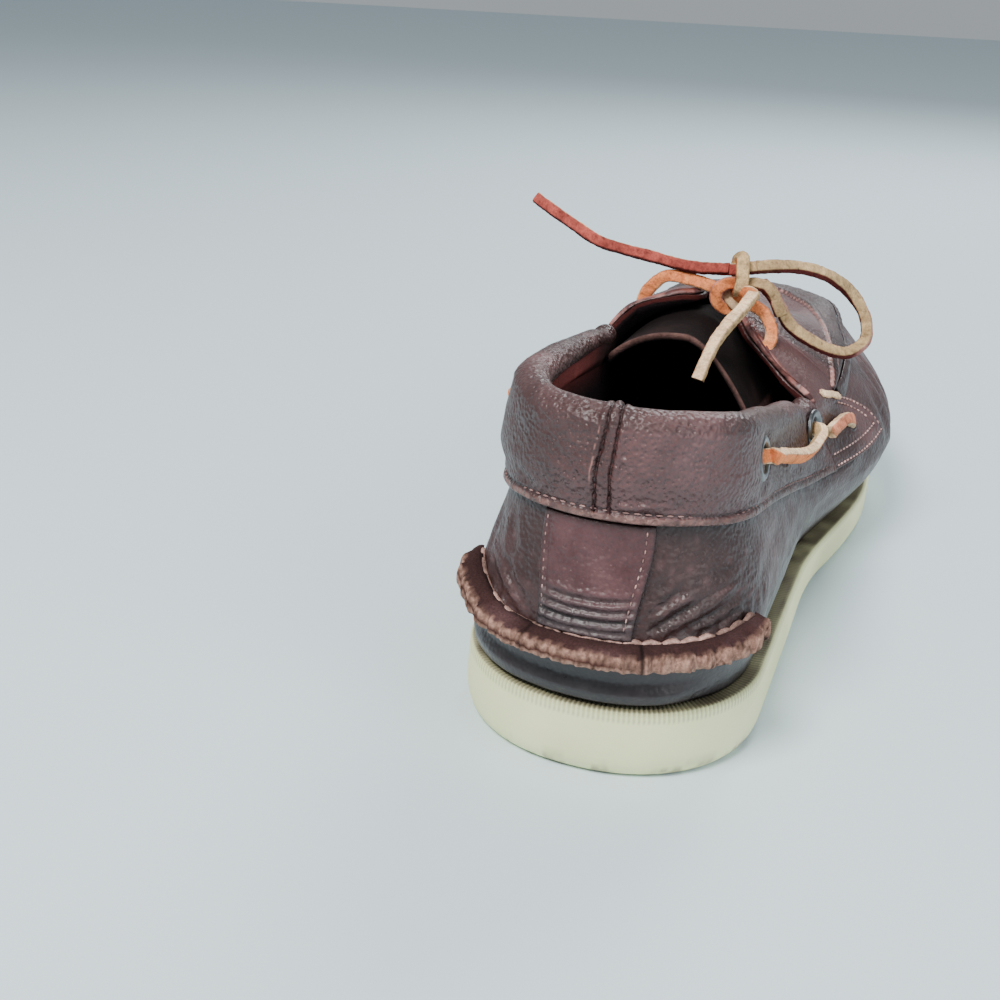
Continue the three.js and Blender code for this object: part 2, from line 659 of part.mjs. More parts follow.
function sideRun(side) {
  const rear = hole(side > 0 ? "outer_rear" : "inner_rear");
  const front = hole(side > 0 ? "outer_front" : "inner_front");
  const on = ({ share, drop, height }) =>
    over(mix(rear.s, front.s, share), mix(rear.v, front.v, share) - drop, PAD_FACE + height * LACE);
  return thong([
    over(rear.s, rear.v, ENTRY.inside), over(rear.s, rear.v, PAD_FACE + ENTRY.side * LACE),
    ...SIDE_RUN.map(on),
    over(front.s, front.v, PAD_FACE + ENTRY.side * LACE), over(front.s, front.v, ENTRY.inside),
  ], 15);
}

// The front run comes out of the collar's end and goes down through the wing.
// Each row is a turn beyond the collar's end, a level, and the height over the wing in laces.
const FRONT_RUN = [
  { turn: 0.0075, level: 1.9, height: 0.65 },
  { turn: 0.019, level: 1.86, height: 0.7 },
  { turn: 0.031, level: 1.81, height: 0.75 },
  { turn: 0.0425, level: 1.7, height: 0.72 },
];

function frontRun(side) {
  const wing = hole(side > 0 ? "outer_wing" : "inner_wing");
  const lie = ({ turn, level, height }) =>
    over(side * (collarEnd(2) + turn), level, STAY_FACE + height * LACE);
  return thong([
    ...FRONT_RUN.map(lie), over(wing.s, wing.v, STAY_FACE), over(wing.s, wing.v, -WALL - ENTRY.inside),
  ], 12);
}

// The free lace, point by point, in the last's own frame
const at = (x, y, z) => new THREE.Vector3(x, y, z);
const KNOT = { centre: [5.2, 141, 96.6], radii: [3.4, 4.4, 5.4] };
const THROAT_RUN = [
  [-19, 141, 91.4], [-11, 142, 91.3], [-3, 141.4, 89.8], [5, 141, 88.4], [11, 140, 87.2], [15.8, 139, 82.5],
];
const LONG_END = [
  [1.2, 141, 96.2], [-8, 141.4, 95.3], [-16, 141.2, 96], [-24, 140.5, 97.4], [-33, 140.5, 98.7], [-41, 141, 100.2],
  [-49, 143, 103.4], [-57, 145, 107], [-65, 147, 110.8],
];
const BIG_LOOP = [
  [9.2, 141.5, 97.4], [16, 145, 97.8], [24, 155, 95.6], [31, 165, 91], [37, 171, 85], [41.8, 172, 77.5],
  [43, 168, 72.4], [41, 163, 70], [37.6, 158, 69.4], [32, 153, 71.6], [26, 149, 75.4], [21, 146.5, 79.4],
  [18, 145, 84], [15.2, 143.8, 88.4], [11.4, 142.4, 92.6],
];
const SHORT_END = [
  [7, 136, 94.4], [9.2, 131, 91.2], [8.6, 124, 88.3], [6.8, 116, 85.3], [5.4, 110, 82.8], [4, 105, 78.8],
  [2.4, 101, 72],
];

function throatRun() {
  const inner = hole("inner_top");
  const outer = hole("outer_top");
  return thong([
    over(inner.s, inner.v, -WALL - ENTRY.inside), over(inner.s, inner.v, STAY_FACE + ENTRY.throat * LACE),
    ...THROAT_RUN.map((p) => at(...p)),
    over(outer.s, outer.v, STAY_FACE + ENTRY.throat * LACE), over(outer.s, outer.v, -WALL - ENTRY.inside),
  ], 21);
}

function knot() {
  return new THREE.SphereGeometry(1, 10, 6).scale(...KNOT.radii).translate(...KNOT.centre);
}

const LEATHER = new THREE.MeshStandardMaterial({ color: 0x4a2a2a, roughness: 0.5, metalness: 0 });
const RAW_EDGE = new THREE.MeshStandardMaterial({ color: 0x8a5f55, roughness: 0.9, metalness: 0 });
const RUBBER = new THREE.MeshStandardMaterial({ color: 0xc9cdb4, roughness: 0.8, metalness: 0 });
const LINING = new THREE.MeshStandardMaterial({ color: 0x4a1d1c, roughness: 0.95, metalness: 0 });
const METAL = new THREE.MeshStandardMaterial({ color: 0x2b2d30, roughness: 0.4, metalness: 1 });
const RAWHIDE = new THREE.MeshStandardMaterial({ color: 0xb86a48, roughness: 0.85, metalness: 0 });

const shoe = new THREE.Group();

function place(name, geometry, material) {
  const mesh = new THREE.Mesh(geometry, material);
  mesh.name = name;
  shoe.add(mesh);
  return mesh;
}

place("outsole", outsole(), RUBBER);
place("upper", pierced(upper(), HOLES.map((one) => one.name)), LEATHER);
place("insole", insole(), LINING);
place("tongue", tongue(), LEATHER);
place("collar", pierced(collar(), HOLES.filter((one) => one.metal).map((one) => one.name)), LEATHER);
place("heel_patch", heelPatch(), LEATHER);
place("heel_seam", heelSeam(), RAW_EDGE);
place("outer_stay", pierced(stay(1), ["outer_wing", "outer_top"]), LEATHER);
place("inner_stay", pierced(stay(-1), ["inner_wing", "inner_top"]), LEATHER);
place("plug", pierced(plug(), ["outer_top", "inner_top"]), LEATHER);
place("moc_seam", mocSeam(), RAW_EDGE);
HOLES.filter((one) => one.metal).forEach((one) => place(`eyelet_${one.name}`, eyelet(one), METAL));
place("lace_outer_side", sideRun(1), RAWHIDE);
place("lace_inner_side", sideRun(-1), RAWHIDE);
place("lace_outer_front", frontRun(1), RAWHIDE);
place("lace_inner_front", frontRun(-1), RAWHIDE);
place("lace_throat", throatRun(), RAWHIDE);

// The knot and what hangs from it lie outside the shoe's own footprint
const FREE_LACE = [
  place("lace_knot", knot(), RAWHIDE),
  place("lace_long_end", thong(LONG_END.map((p) => at(...p)), 14), RAWHIDE),
  place("lace_big_loop", thong(BIG_LOOP.map((p) => at(...p)), 24), RAWHIDE),
  place("lace_short_end", thong(SHORT_END.map((p) => at(...p)), 12), RAWHIDE),
];

// The origin is the middle of the footprint of the shoe itself, on the floor
const body = new THREE.Box3();
shoe.children.filter((mesh) => !FREE_LACE.includes(mesh)).forEach((mesh) => body.expandByObject(mesh));
const middle = body.getCenter(new THREE.Vector3());
shoe.position.set(-middle.x, -middle.y, -body.min.z);

export default shoe;
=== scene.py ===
# A boat shoe for the right foot: its fine surfaces, laces, finishes, floor, lights and camera.
# Shapes are worked out in millimetres in the last's own frame, as in the construction, where y is 0
# at the back of the sole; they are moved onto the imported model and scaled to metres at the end.
import math

import bpy
import numpy as np
from mathutils import Matrix, Vector

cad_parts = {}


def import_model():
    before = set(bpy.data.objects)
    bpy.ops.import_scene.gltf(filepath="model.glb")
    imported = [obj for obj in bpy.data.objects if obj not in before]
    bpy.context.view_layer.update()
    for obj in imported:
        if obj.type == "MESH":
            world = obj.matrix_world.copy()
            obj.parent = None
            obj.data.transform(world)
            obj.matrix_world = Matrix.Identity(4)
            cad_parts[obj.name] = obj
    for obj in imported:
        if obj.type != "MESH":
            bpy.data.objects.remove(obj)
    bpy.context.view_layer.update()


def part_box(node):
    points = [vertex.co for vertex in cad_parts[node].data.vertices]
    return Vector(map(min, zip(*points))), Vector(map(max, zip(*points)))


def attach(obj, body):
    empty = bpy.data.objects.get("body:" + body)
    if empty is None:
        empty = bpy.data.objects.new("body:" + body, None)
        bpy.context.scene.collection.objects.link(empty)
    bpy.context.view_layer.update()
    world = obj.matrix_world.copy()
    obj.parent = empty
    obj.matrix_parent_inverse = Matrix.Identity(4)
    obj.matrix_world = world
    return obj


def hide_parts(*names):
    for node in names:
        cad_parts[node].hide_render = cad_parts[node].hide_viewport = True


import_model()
BODY = "root"
MM = 0.001

# Driving dimensions, as in the construction
LENGTH = 298.0
HEEL_HALF = 39.5
BALL_HALF = 51.5
TOE_SWING = 9.0
HEEL_THICK = 19.0
FORE_THICK = 13.0
TOE_SPRING = 9.0
WAIST_HOLLOW = 3.0
COLLAR_TOP = 91.5
INSTEP_TOP = 88.5
TOE_TOP = 55.0
LEDGE = 4.2
WAIST_TUCK = 2.4
WALL = 2.0
GAP = 0.3
INSOLE_THICK = 3.0
TONGUE_THICK = 2.2
COLLAR_PAD = 4.0
COLLAR_LINING = 3.0
LINING_EDGE = 1.1
OVERLAY = 1.6
SEAT = 0.35
MOC_WIDTH = 3.2
HEEL_SEAM_REACH = 5.6
EYELET_BORE = 3.5
EYELET_BARREL = 4.1
EYELET_FLANGE = 5.9
KNOT_CENTRE = np.array([5.2, 141.0, 96.6])
# Length of a whole turn at the heel seam, the collar's back seam and the heel patch
HEEL_TURN = 353.0
COLLAR_TURN = 240.0
PATCH_TURN = 330.0
# Pitch of the thick stitches in the raised seams
THICK_PITCH = 6.5

# The construction's frame is found from the knot's own node
low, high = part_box("lace_knot")
SHIFT = (np.array(low) + np.array(high)) / 2 / MM - KNOT_CENTRE


# Basic curves

def clamp(x, a, b):
    return np.minimum(np.maximum(x, a), b)


def mix(a, b, q):
    return a + (b - a) * q


def smooth(x, a, b):
    q = clamp((np.asarray(x, float) - a) / (b - a), 0, 1)
    return q * q * (3 - 2 * q)


def band(d, centre, width):
    """1 on a line, falling off smoothly on both sides of it."""
    return np.exp(-((d - centre) / width) ** 2)


def blend(a, b, share):
    """Colours mixed by a share that every point has."""
    return mix(a, b, share[..., None])


def walked_along(path):
    """Distance from the start at each point of a path."""
    return np.concatenate([[0], np.cumsum(np.linalg.norm(np.diff(path, axis=0), axis=1))])


def spaced(start, *spans):
    """Numbers from start on, evenly spaced up to each stop in turn."""
    parts = [np.array([start], float)]
    for stop, count in spans:
        parts.append(np.linspace(parts[-1][-1], stop, count)[1:])
    return np.concatenate(parts)


def hermite(p0, p1, m0, m1, q):
    r = 1 - q
    return p0 * (1 + 2 * q) * r * r + p1 * q * q * (3 - 2 * q) + m0 * q * r * r - m1 * q * q * r


def curve(rows, column, along):
    """One column of a table at a share along it, on a smooth curve."""
    table = np.array([(row[0], row[column]) for row in rows], float)
    x, y = table[:, 0], table[:, 1]
    t = clamp(np.asarray(along, float), x[0], x[-1])
    i = np.clip(np.searchsorted(x, t, side="right") - 1, 0, len(x) - 2)
    h = np.diff(x)
    slope = np.diff(y) / h
    tangent = np.empty(len(x))
    tangent[0], tangent[-1] = slope[0], slope[-1]
    tangent[1:-1] = (slope[:-1] * h[1:] + slope[1:] * h[:-1]) / (h[1:] + h[:-1])
    return hermite(y[i], y[i + 1], h[i] * tangent[i], h[i] * tangent[i + 1], (t - x[i]) / h[i])


def rounding(d, total, heel_depth, toe_depth, heel_power, toe_power):
    a = clamp(1 - d / heel_depth, 0, 1)
    b = clamp(1 - (total - d) / toe_depth, 0, 1)
    return (1 - a ** heel_power) ** (1 / heel_power) * (1 - b ** toe_power) ** (1 / toe_power)


# The last: centre line, bottom, featherline, crown and half width along the shoe

def axis(y):
    return -TOE_SWING * clamp((y / LENGTH - 0.38) / 0.62, 0, 1.05) ** 1.6


def spring(y):
    return TOE_SPRING * clamp((y / LENGTH - 0.68) / 0.32, 0, 1) ** 1.6


def hollow(y):
    return WAIST_HOLLOW * smooth(y / LENGTH, 0.27, 0.4) * (1 - smooth(y / LENGTH, 0.4, 0.53))


def sole_top(y):
    return mix(HEEL_THICK, FORE_THICK, smooth(y / LENGTH, 0.2, 0.58)) + spring(y)


def half_width(y):
    return mix(HEEL_HALF, BALL_HALF, smooth(y / LENGTH, 0.35, 0.65))


def crown(y):
    back = mix(COLLAR_TOP, INSTEP_TOP, smooth(y / LENGTH, 0.1, 0.45))
    return back + (TOE_TOP - INSTEP_TOP) * smooth(y / LENGTH, 0.55, 0.97)


# Sole outline and the upper's levels. Rows: along, outer and inner half width, outer and inner rise.
OUTLINE = dict(
    back=0.0, front=1.0, heel_depth=0.962, toe_depth=1.553, heel_power=2.15, toe_power=2.2, crowd=0.0,
    rows=[
        (0, 0.99, 0.99), (0.14, 1, 0.99), (0.26, 1, 0.9), (0.4, 1, 0.72), (0.52, 0.99, 0.72),
        (0.64, 1, 0.84), (0.76, 1, 0.97), (0.9, 0.93, 1), (1, 0.86, 0.98),
    ])
LEVELS = [
    dict(back=0.051, front=0.997, heel_depth=0.937, toe_depth=1.398, heel_power=2.1, toe_power=2.25,
         crowd=0.0, rows=[
             (0, 0.93, 0.93, 0.2, 0.2), (0.14, 0.94, 0.94, 0.2, 0.2), (0.26, 0.95, 0.88, 0.21, 0.21),
             (0.4, 0.97, 0.8, 0.22, 0.22), (0.52, 1.07, 0.84, 0.24, 0.24), (0.64, 1.09, 0.92, 0.25, 0.25),
             (0.76, 1.05, 0.99, 0.27, 0.27), (0.9, 0.92, 1, 0.3, 0.3), (1, 0.84, 0.96, 0.33, 0.33),
         ]),
    dict(back=0.241, front=0.95, heel_depth=0.835, toe_depth=1.282, heel_power=2.1, toe_power=2.4, crowd=0.0,
         rows=[
             (0, 0.76, 0.76, 0.62, 0.62), (0.14, 0.77, 0.78, 0.59, 0.61), (0.26, 0.77, 0.79, 0.53, 0.58),
             (0.38, 0.81, 0.81, 0.49, 0.56), (0.5, 0.82, 0.77, 0.55, 0.6), (0.62, 0.77, 0.71, 0.63, 0.65),
             (0.76, 0.67, 0.7, 0.74, 0.74), (0.9, 0.62, 0.7, 0.93, 0.93), (1, 0.58, 0.7, 1, 1),
         ]),
    dict(back=0.278, front=0.765, heel_depth=0.785, toe_depth=1.165, heel_power=2.1, toe_power=2.2, crowd=0.1,
         rows=[
             (0, 0.72, 0.72, 0.8, 0.8), (0.14, 0.71, 0.76, 0.72, 0.78), (0.26, 0.67, 0.78, 0.65, 0.76),
             (0.4, 0.72, 0.8, 0.59, 0.72), (0.52, 0.8, 0.79, 0.57, 0.71), (0.62, 0.75, 0.73, 0.64, 0.76),
             (0.74, 0.56, 0.57, 0.74, 0.82), (0.87, 0.43, 0.44, 0.79, 0.82), (1, 0.35, 0.39, 0.81, 0.81),
         ]),
    dict(back=0.304, front=0.564, heel_depth=0.759, toe_depth=0.388, heel_power=2.1, toe_power=2.0, crowd=0.3,
         rows=[
             (0, 0.68, 0.68, 0.94, 0.94), (0.12, 0.69, 0.69, 0.885, 0.94), (0.25, 0.68, 0.73, 0.81, 0.92),
             (0.42, 0.68, 0.77, 0.72, 0.88), (0.58, 0.71, 0.78, 0.66, 0.85), (0.7, 0.76, 0.785, 0.61, 0.81),
             (0.735, 0.74, 0.76, 0.65, 0.84), (0.755, 0.57, 0.59, 0.7, 0.94),
             (0.775, 0.33, 0.34, 0.81, 0.985), (0.81, 0.18, 0.19, 0.88, 0.985),
             (0.9, 0.15, 0.15, 0.92, 0.965), (1, 0.14, 0.14, 0.93, 0.93),
         ]),
]
TOP = len(LEVELS)
STEP = 1e-3


def wrap(s):
    """A turn brought into -1 (toe, inner side) .. 0 (heel) .. 1 (toe, outer side)."""
    s = np.asarray(s, float)
    return np.where(s > 1, s - 2, np.where(s < -1, s + 2, s))


def level_point(level, turn):
    s = wrap(turn)
    even = (1 - np.cos(np.pi * np.abs(s))) / 2
    t = even + level["crowd"] * np.sin(np.pi * even) ** 2
    back = level["back"] * HEEL_HALF
    total = level["front"] * LENGTH - back
    y = back + total * t
    close = rounding(total * t, total, level["heel_depth"] * HEEL_HALF, level["toe_depth"] * BALL_HALF,
                     level["heel_power"], level["toe_power"])
    rows = level["rows"]
    width = np.where(s < 0, curve(rows, 2, t), curve(rows, 1, t)) * half_width(y) * close
    rise = 0 * y
    if len(rows[0]) > 3:
        rise = np.where(s < 0, curve(rows, 4, t), curve(rows, 3, t))
    return np.stack([axis(y) + np.sign(s) * width, y, mix(sole_top(y), crown(y), rise)], -1)


def inset_outline(s, inset):
    d = level_point(OUTLINE, s + STEP) - level_point(OUTLINE, s - STEP)
    inward = np.stack([-d[..., 1], d[..., 0], 0 * d[..., 0]], -1)
    inward /= np.linalg.norm(inward, axis=-1, keepdims=True)
    p = level_point(OUTLINE, s) + inward * np.asarray(inset, float)[..., None]
    p[..., 2] = 0
    return p


def tuck(s):
    return np.where(s > 0, WAIST_TUCK * smooth(s, 0.25, 0.42) * (1 - smooth(s, 0.42, 0.62)), 0)


def feather(s):
    p = inset_outline(wrap(s), LEDGE + tuck(wrap(s)))
    p[..., 2] = sole_top(p[..., 1]) + GAP
    return p


def skin(s, v):
    """The outside of the upper: turn s round the shoe, level v from 0 at the sole to TOP."""
    s = np.asarray(s, float)
    v = np.asarray(v, float)
    points = np.stack([feather(s)] + [level_point(level, s) for level in LEVELS])
    chord = np.linalg.norm(np.diff(points, axis=0), axis=-1)[..., None]
    slope = np.diff(points, axis=0) / chord
    tangent = np.empty_like(points)
    tangent[1:-1] = (slope[:-1] * chord[1:] + slope[1:] * chord[:-1]) / (chord[1:] + chord[:-1])
    tangent[0] = 1.5 * slope[0] - 0.5 * tangent[1]
    tangent[-1] = 1.5 * slope[-1] - 0.5 * tangent[-2]
    shape = np.broadcast_shapes(s.shape, v.shape)
    i = np.clip(np.floor(np.broadcast_to(v, shape)).astype(int), 0, TOP - 1)
    q = (np.broadcast_to(v, shape) - i)[..., None]

    def take(array, index):
        full = np.broadcast_to(array, (array.shape[0],) + shape + (array.shape[-1],))
        return np.take_along_axis(full, index[None, ..., None], 0)[0]

    h = take(chord, i)
    return hermite(take(points, i), take(points, i + 1), h * take(tangent, i), h * take(tangent, i + 1), q)


def unit(a):
    return a / np.maximum(np.linalg.norm(a, axis=-1, keepdims=True), 1e-12)


def rising(s, v):
    return (skin(s, np.asarray(v) + STEP) - skin(s, np.asarray(v) - STEP)) / (2 * STEP)


def outward(s, v):
    return unit(np.cross(skin(s + STEP, v) - skin(s - STEP, v), rising(s, v)))


def upward(s):
    round_ = skin(s + STEP, TOP) - skin(s - STEP, TOP)
    return unit(np.cross(outward(s, TOP), round_))


def over(s, v, height):
    s, v, height = np.broadcast_arrays(*[np.asarray(a, float) for a in (s, v, height)])
    return skin(s, v) + outward(s, v) * height[..., None]


def climb(s, v, distance):
    return v + distance / np.linalg.norm(rising(s, v), axis=-1)


# Lines that the overlays follow
COLLAR_SEAM = [
    (0, 2.07), (0.05, 2.06), (0.14, 1.97), (0.21, 1.9), (0.36, 1.62), (0.47, 1.3), (0.51, 1.26),
    (0.553, 1.28),
]
CORNER = 0.455
COLLAR_END = [(1.2, 0.464), (2, 0.461), (3, 0.461), (3.6, 0.456), (4, CORNER)]
EDGE_GAP = 0.004
STAY_FRONT = [
    (1.28, 0.553, 0.553), (1.54, 0.545, 0.546), (1.78, 0.531, 0.536), (2.1, 0.512, 0.526),
    (2.6, 0.513, 0.545), (3, 0.523, 0.56), (3.4, 0.53, 0.57), (4, 0.525, 0.55),
]
MOC_LEVEL = 2.12
MOC_FOOT = 1.95
# The plug's upper line, where the vamp's gathered edge lies over it
MOC_RIM = [
    (0.5, 2.7), (0.524, 2.74), (0.554, 2.81), (0.586, 2.75), (0.616, 2.76), (0.664, 2.74), (0.724, 2.7),
    (0.79, 2.63), (0.864, 2.56), (0.93, 2.48), (1.0, 2.45),
]
MOC_BAND = 4.2
HEEL_SEAM = dict(end=0.195, inner_rise=0.15, outer_rise=0.03)
PATCH = dict(low=1.13, half_low=0.048, half_high=0.066)


def collar_seam(s):
    return curve(COLLAR_SEAM, 1, np.abs(s))


def collar_end(v):
    return curve(COLLAR_END, 1, v)


def stay_front(side, v):
    return curve(STAY_FRONT, 1 if side > 0 else 2, v)


def seam_rise(s):
    """How far the raised heel seam climbs toward its ends, in levels."""
    inner = HEEL_SEAM["inner_rise"] * smooth(-s, 0.08, 0.18)
    return np.where(s < 0, inner, HEEL_SEAM["outer_rise"] * smooth(s, 0.12, 0.19))


HOLES = {
    "outer_rear": (0.252, 3.14), "outer_front": (0.436, 2.8), "inner_rear": (-0.266, 3.1),
    "inner_front": (-0.436, 2.8), "outer_wing": (0.507, 1.65), "inner_wing": (-0.507, 1.65),
    "outer_top": (0.499, 3.74), "inner_top": (-0.515, 3.45),
}
METAL_HOLES = ["outer_rear", "outer_front", "inner_rear", "inner_front"]

# The free lace, point by point, as in the construction
THROAT_RUN = [(-19, 141, 91.4), (-11, 142, 91.3), (-3, 141.4, 89.8), (5, 141, 88.4), (10.2, 140.5, 85.6),
              (13.3, 140, 83.9), (15.6, 139.2, 81.2), (16.9, 137.6, 78.6), (16.9, 135.2, 76.2),
              (15.9, 133.4, 74.4)]
LONG_END = [
    (1.2, 141, 96.2), (-8, 141.4, 95.3), (-16, 141.2, 96), (-24, 140.5, 97.4), (-33, 140.5, 98.7),
    (-41, 141, 100.2), (-49, 143, 103.4), (-57, 145, 107), (-65, 147, 110.8),
]
BIG_LOOP = [
    (9.2, 141.5, 97.4), (16, 145, 97.8), (24, 155, 95.6), (31, 165, 91), (37, 171, 85), (41.8, 172, 77.5),
    (43, 168, 72.4), (41, 163, 70), (37.6, 158, 69.4), (32, 153, 71.6), (26, 149, 75.4), (21, 146.5, 79.4),
    (18, 145, 84), (15.2, 143.8, 88.4), (11.4, 142.4, 92.6),
]
SHORT_END = [
    (10.4, 135.2, 90.6), (9.6, 131, 89.2), (8.4, 124, 87.2), (6.8, 116, 85.3), (5.4, 110, 82.8),
    (4, 105, 78.8), (2.4, 101, 72),
]


# Meshes

def world(points):
    return (np.asarray(points, float).reshape(-1, 3) + SHIFT) * MM


def make_piece(name, points, faces, colours, materials, nodes, sharp=None):
    """A piece from points in millimetres, standing for the named nodes; colours are kept on the points."""
    mesh = bpy.data.meshes.new(name)
    mesh.from_pydata(world(points).tolist(), [], [tuple(int(k) for k in face) for face in faces])
    mesh.polygons.foreach_set("use_smooth", [True] * len(mesh.polygons))
    if sharp is not None:
        mesh.set_sharp_from_angle(angle=math.radians(sharp))
    rgba = np.ones((len(mesh.vertices), 4))
    rgba[:, :3] = clamp(np.asarray(colours, float), 0, 1).reshape(-1, 3)
    mesh.color_attributes.new("tint", "FLOAT_COLOR", "POINT").data.foreach_set("color", rgba.ravel())
    mesh.update()
    obj = bpy.data.objects.new(name, mesh)
    bpy.context.scene.collection.objects.link(obj)
    for material in materials if isinstance(materials, list) else [materials]:
        mesh.materials.append(material)
    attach(obj, BODY)
    if nodes:
        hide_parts(*nodes)
    return obj


def grid_faces(rows, columns, close_rows=False, close_columns=False):
    i = np.arange(rows if close_rows else rows - 1)
    j = np.arange(columns if close_columns else columns - 1)
    i, j = [a.ravel() for a in np.meshgrid(i, j, indexing="ij")]
    ni, nj = (i + 1) % rows, (j + 1) % columns
    return np.stack([i * columns + j, ni * columns + j, ni * columns + nj, i * columns + nj], -1)


def look_out(faces, points):
    """Whether four-cornered faces look out of the space that they enclose."""
    a, b, c, d = [points.reshape(-1, 3)[faces[:, k]] for k in range(4)]
    return np.sum(a * np.cross(b, c)) + np.sum(a * np.cross(c, d)) > 0


def loft_faces(sections, closed):
    """Faces of rings of points; the ends are closed by strips from each ring's front to its back."""
    n, k = sections.shape[:2]
    faces = [grid_faces(n, k, close_rows=closed, close_columns=True)]
    if not closed:
        half = k // 2
        j = np.arange(half - 1)
        strip = np.stack([j, j + 1, k - 2 - j, k - 1 - j], -1)
        faces += [strip, (n - 1) * k + strip[:, ::-1]]
    faces = np.vstack(faces)
    return faces if look_out(faces, sections) else faces[:, ::-1]


def capped_faces(ring):
    """Faces of rings of points with a face over each end."""
    n, k = ring.shape[:2]
    faces = grid_faces(n, k, close_columns=True)
    listed = faces.tolist() + [list(range(k)), list(range(n * k - 1, (n - 1) * k - 1, -1))]
    return listed if look_out(faces, ring) else [face[::-1] for face in listed]


# Soft noise in space, the same on every run
RANDOM = np.random.default_rng(7)
LATTICE_PERIOD = 32
LATTICE = RANDOM.random((33, 33, 33))


def noise(points, size, seed=0):
    """Smooth noise of the given size in millimetres, from -1 to 1."""
    p = np.asarray(points, float) / size + 17.3 * (seed + 1)
    cell = np.floor(p).astype(int)
    f = p - cell
    f = f * f * (3 - 2 * f)
    total = 0
    for corner in np.ndindex(2, 2, 2):
        weight = np.prod(np.where(corner, f, 1 - f), axis=-1)
        x, y, z = np.moveaxis((cell + corner) % LATTICE_PERIOD, -1, 0)
        total = total + weight * LATTICE[x, y, z]
    return 2 * total - 1


# Creases: soft troughs with a ridge beside them, each a line of (turn, level), width and depth in mm
UPPER_CREASES = [
    ([(-0.06, 1.2), (-0.02, 1.19), (0.02, 1.195), (0.06, 1.21)], 0.8, 0.6),
    ([(-0.06, 1.28), (-0.02, 1.255), (0.02, 1.26), (0.06, 1.29)], 0.9, 0.95),
    ([(-0.06, 1.36), (-0.02, 1.33), (0.02, 1.33), (0.06, 1.37)], 0.8, 0.7),
    ([(-0.055, 1.43), (-0.02, 1.41), (0.02, 1.415), (0.055, 1.45)], 0.8, 0.45),
    ([(0.062, 1.2), (0.085, 1.3), (0.12, 1.42)], 1.2, 0.7),
    ([(0.058, 1.28), (0.08, 1.42), (0.11, 1.58)], 1.1, 0.55),
    ([(0.07, 1.14), (0.1, 1.2), (0.14, 1.3), (0.18, 1.42)], 1.3, 0.75),
    ([(0.1, 1.12), (0.135, 1.18), (0.17, 1.28)], 1.2, 0.6),
    ([(0.062, 1.5), (0.09, 1.62), (0.13, 1.7)], 1.5, 0.35),
    ([(-0.06, 1.2), (-0.09, 1.32), (-0.12, 1.5)], 1.3, 0.55),
    ([(-0.07, 1.14), (-0.11, 1.22), (-0.16, 1.4)], 1.4, 0.6),
    ([(-0.1, 1.5), (-0.12, 1.7), (-0.13, 1.85)], 1.8, 0.5),
    ([(-0.16, 1.2), (-0.17, 1.5), (-0.165, 1.8)], 2, 0.5),
    ([(0.2, 1.3), (0.24, 1.45), (0.3, 1.5)], 2.4, 0.4),
    ([(0.28, 0.9), (0.34, 1.1), (0.4, 1.15)], 3, 0.5),
    ([(0.4, 0.7), (0.48, 0.95), (0.53, 1.15)], 3, 0.5),
    ([(-0.28, 0.9), (-0.36, 1.1), (-0.44, 1.1)], 3, 0.5),
    ([(0.6, 0.75), (0.605, 1.1), (0.61, 1.5), (0.62, 1.95)], 3.4, 0.9),
    ([(0.64, 0.8), (0.645, 1.2), (0.65, 1.6), (0.655, 1.95)], 3.2, 0.8),
    ([(0.57, 0.8), (0.575, 1.2), (0.58, 1.7)], 3, 0.6),
    ([(-0.6, 0.75), (-0.605, 1.1), (-0.61, 1.5), (-0.615, 1.95)], 3.4, 0.9),
    ([(-0.64, 0.8), (-0.645, 1.2), (-0.65, 1.6), (-0.655, 1.95)], 3.2, 0.8),
    ([(-0.57, 0.8), (-0.575, 1.2), (-0.58, 1.7)], 3, 0.6),
]
COLLAR_CREASES = [
    ([(0.016, 2.45), (0.035, 2.5), (0.06, 2.52)], 0.9, 0.4),
    ([(0.016, 2.3), (0.04, 2.33), (0.07, 2.32)], 0.8, 0.45),
    ([(0.018, 2.6), (0.035, 2.66), (0.05, 2.7)], 0.9, 0.3),
    ([(0.02, 2.2), (0.04, 2.22), (0.08, 2.24)], 0.9, 0.5),
    ([(0.03, 2.8), (0.045, 2.85), (0.06, 2.86)], 0.9, 0.25),
    ([(-0.02, 2.4), (-0.04, 2.55), (-0.06, 2.9)], 1.2, 0.3),
    ([(-0.02, 2.7), (-0.035, 3.0), (-0.05, 3.3)], 1.2, 0.3),
    ([(-0.05, 2.2), (-0.09, 2.35), (-0.12, 2.6)], 1.4, 0.35),
    ([(0.12, 2.1), (0.18, 2.2), (0.24, 2.3)], 1.8, 0.3),
    ([(0.3, 2.1), (0.36, 2.3), (0.42, 2.5)], 2, 0.4),
    ([(0.33, 1.85), (0.39, 1.95), (0.44, 2.1)], 1.8, 0.35),
    ([(-0.33, 1.85), (-0.39, 2.1), (-0.43, 2.5)], 2, 0.4),
    ([(-0.15, 2.2), (-0.2, 2.5), (-0.25, 2.6)], 2, 0.3),
]
PLUG_CREASES = [
    ([(0.62, 2.9), (0.72, 3.3), (0.8, 3.6), (1.0, 3.72), (1.2, 3.6), (1.28, 3.3), (1.3, 2.8), (1.34, 2.3)],
     3.4, 0.5),
]


def along_line(points, count):
    """A line of (turn, level) corners, resampled evenly."""
    p = np.asarray(points, float)
    t = np.linspace(0, len(p) - 1, count)
    return np.stack([np.interp(t, np.arange(len(p)), p[:, k]) for k in range(p.shape[1])], -1)


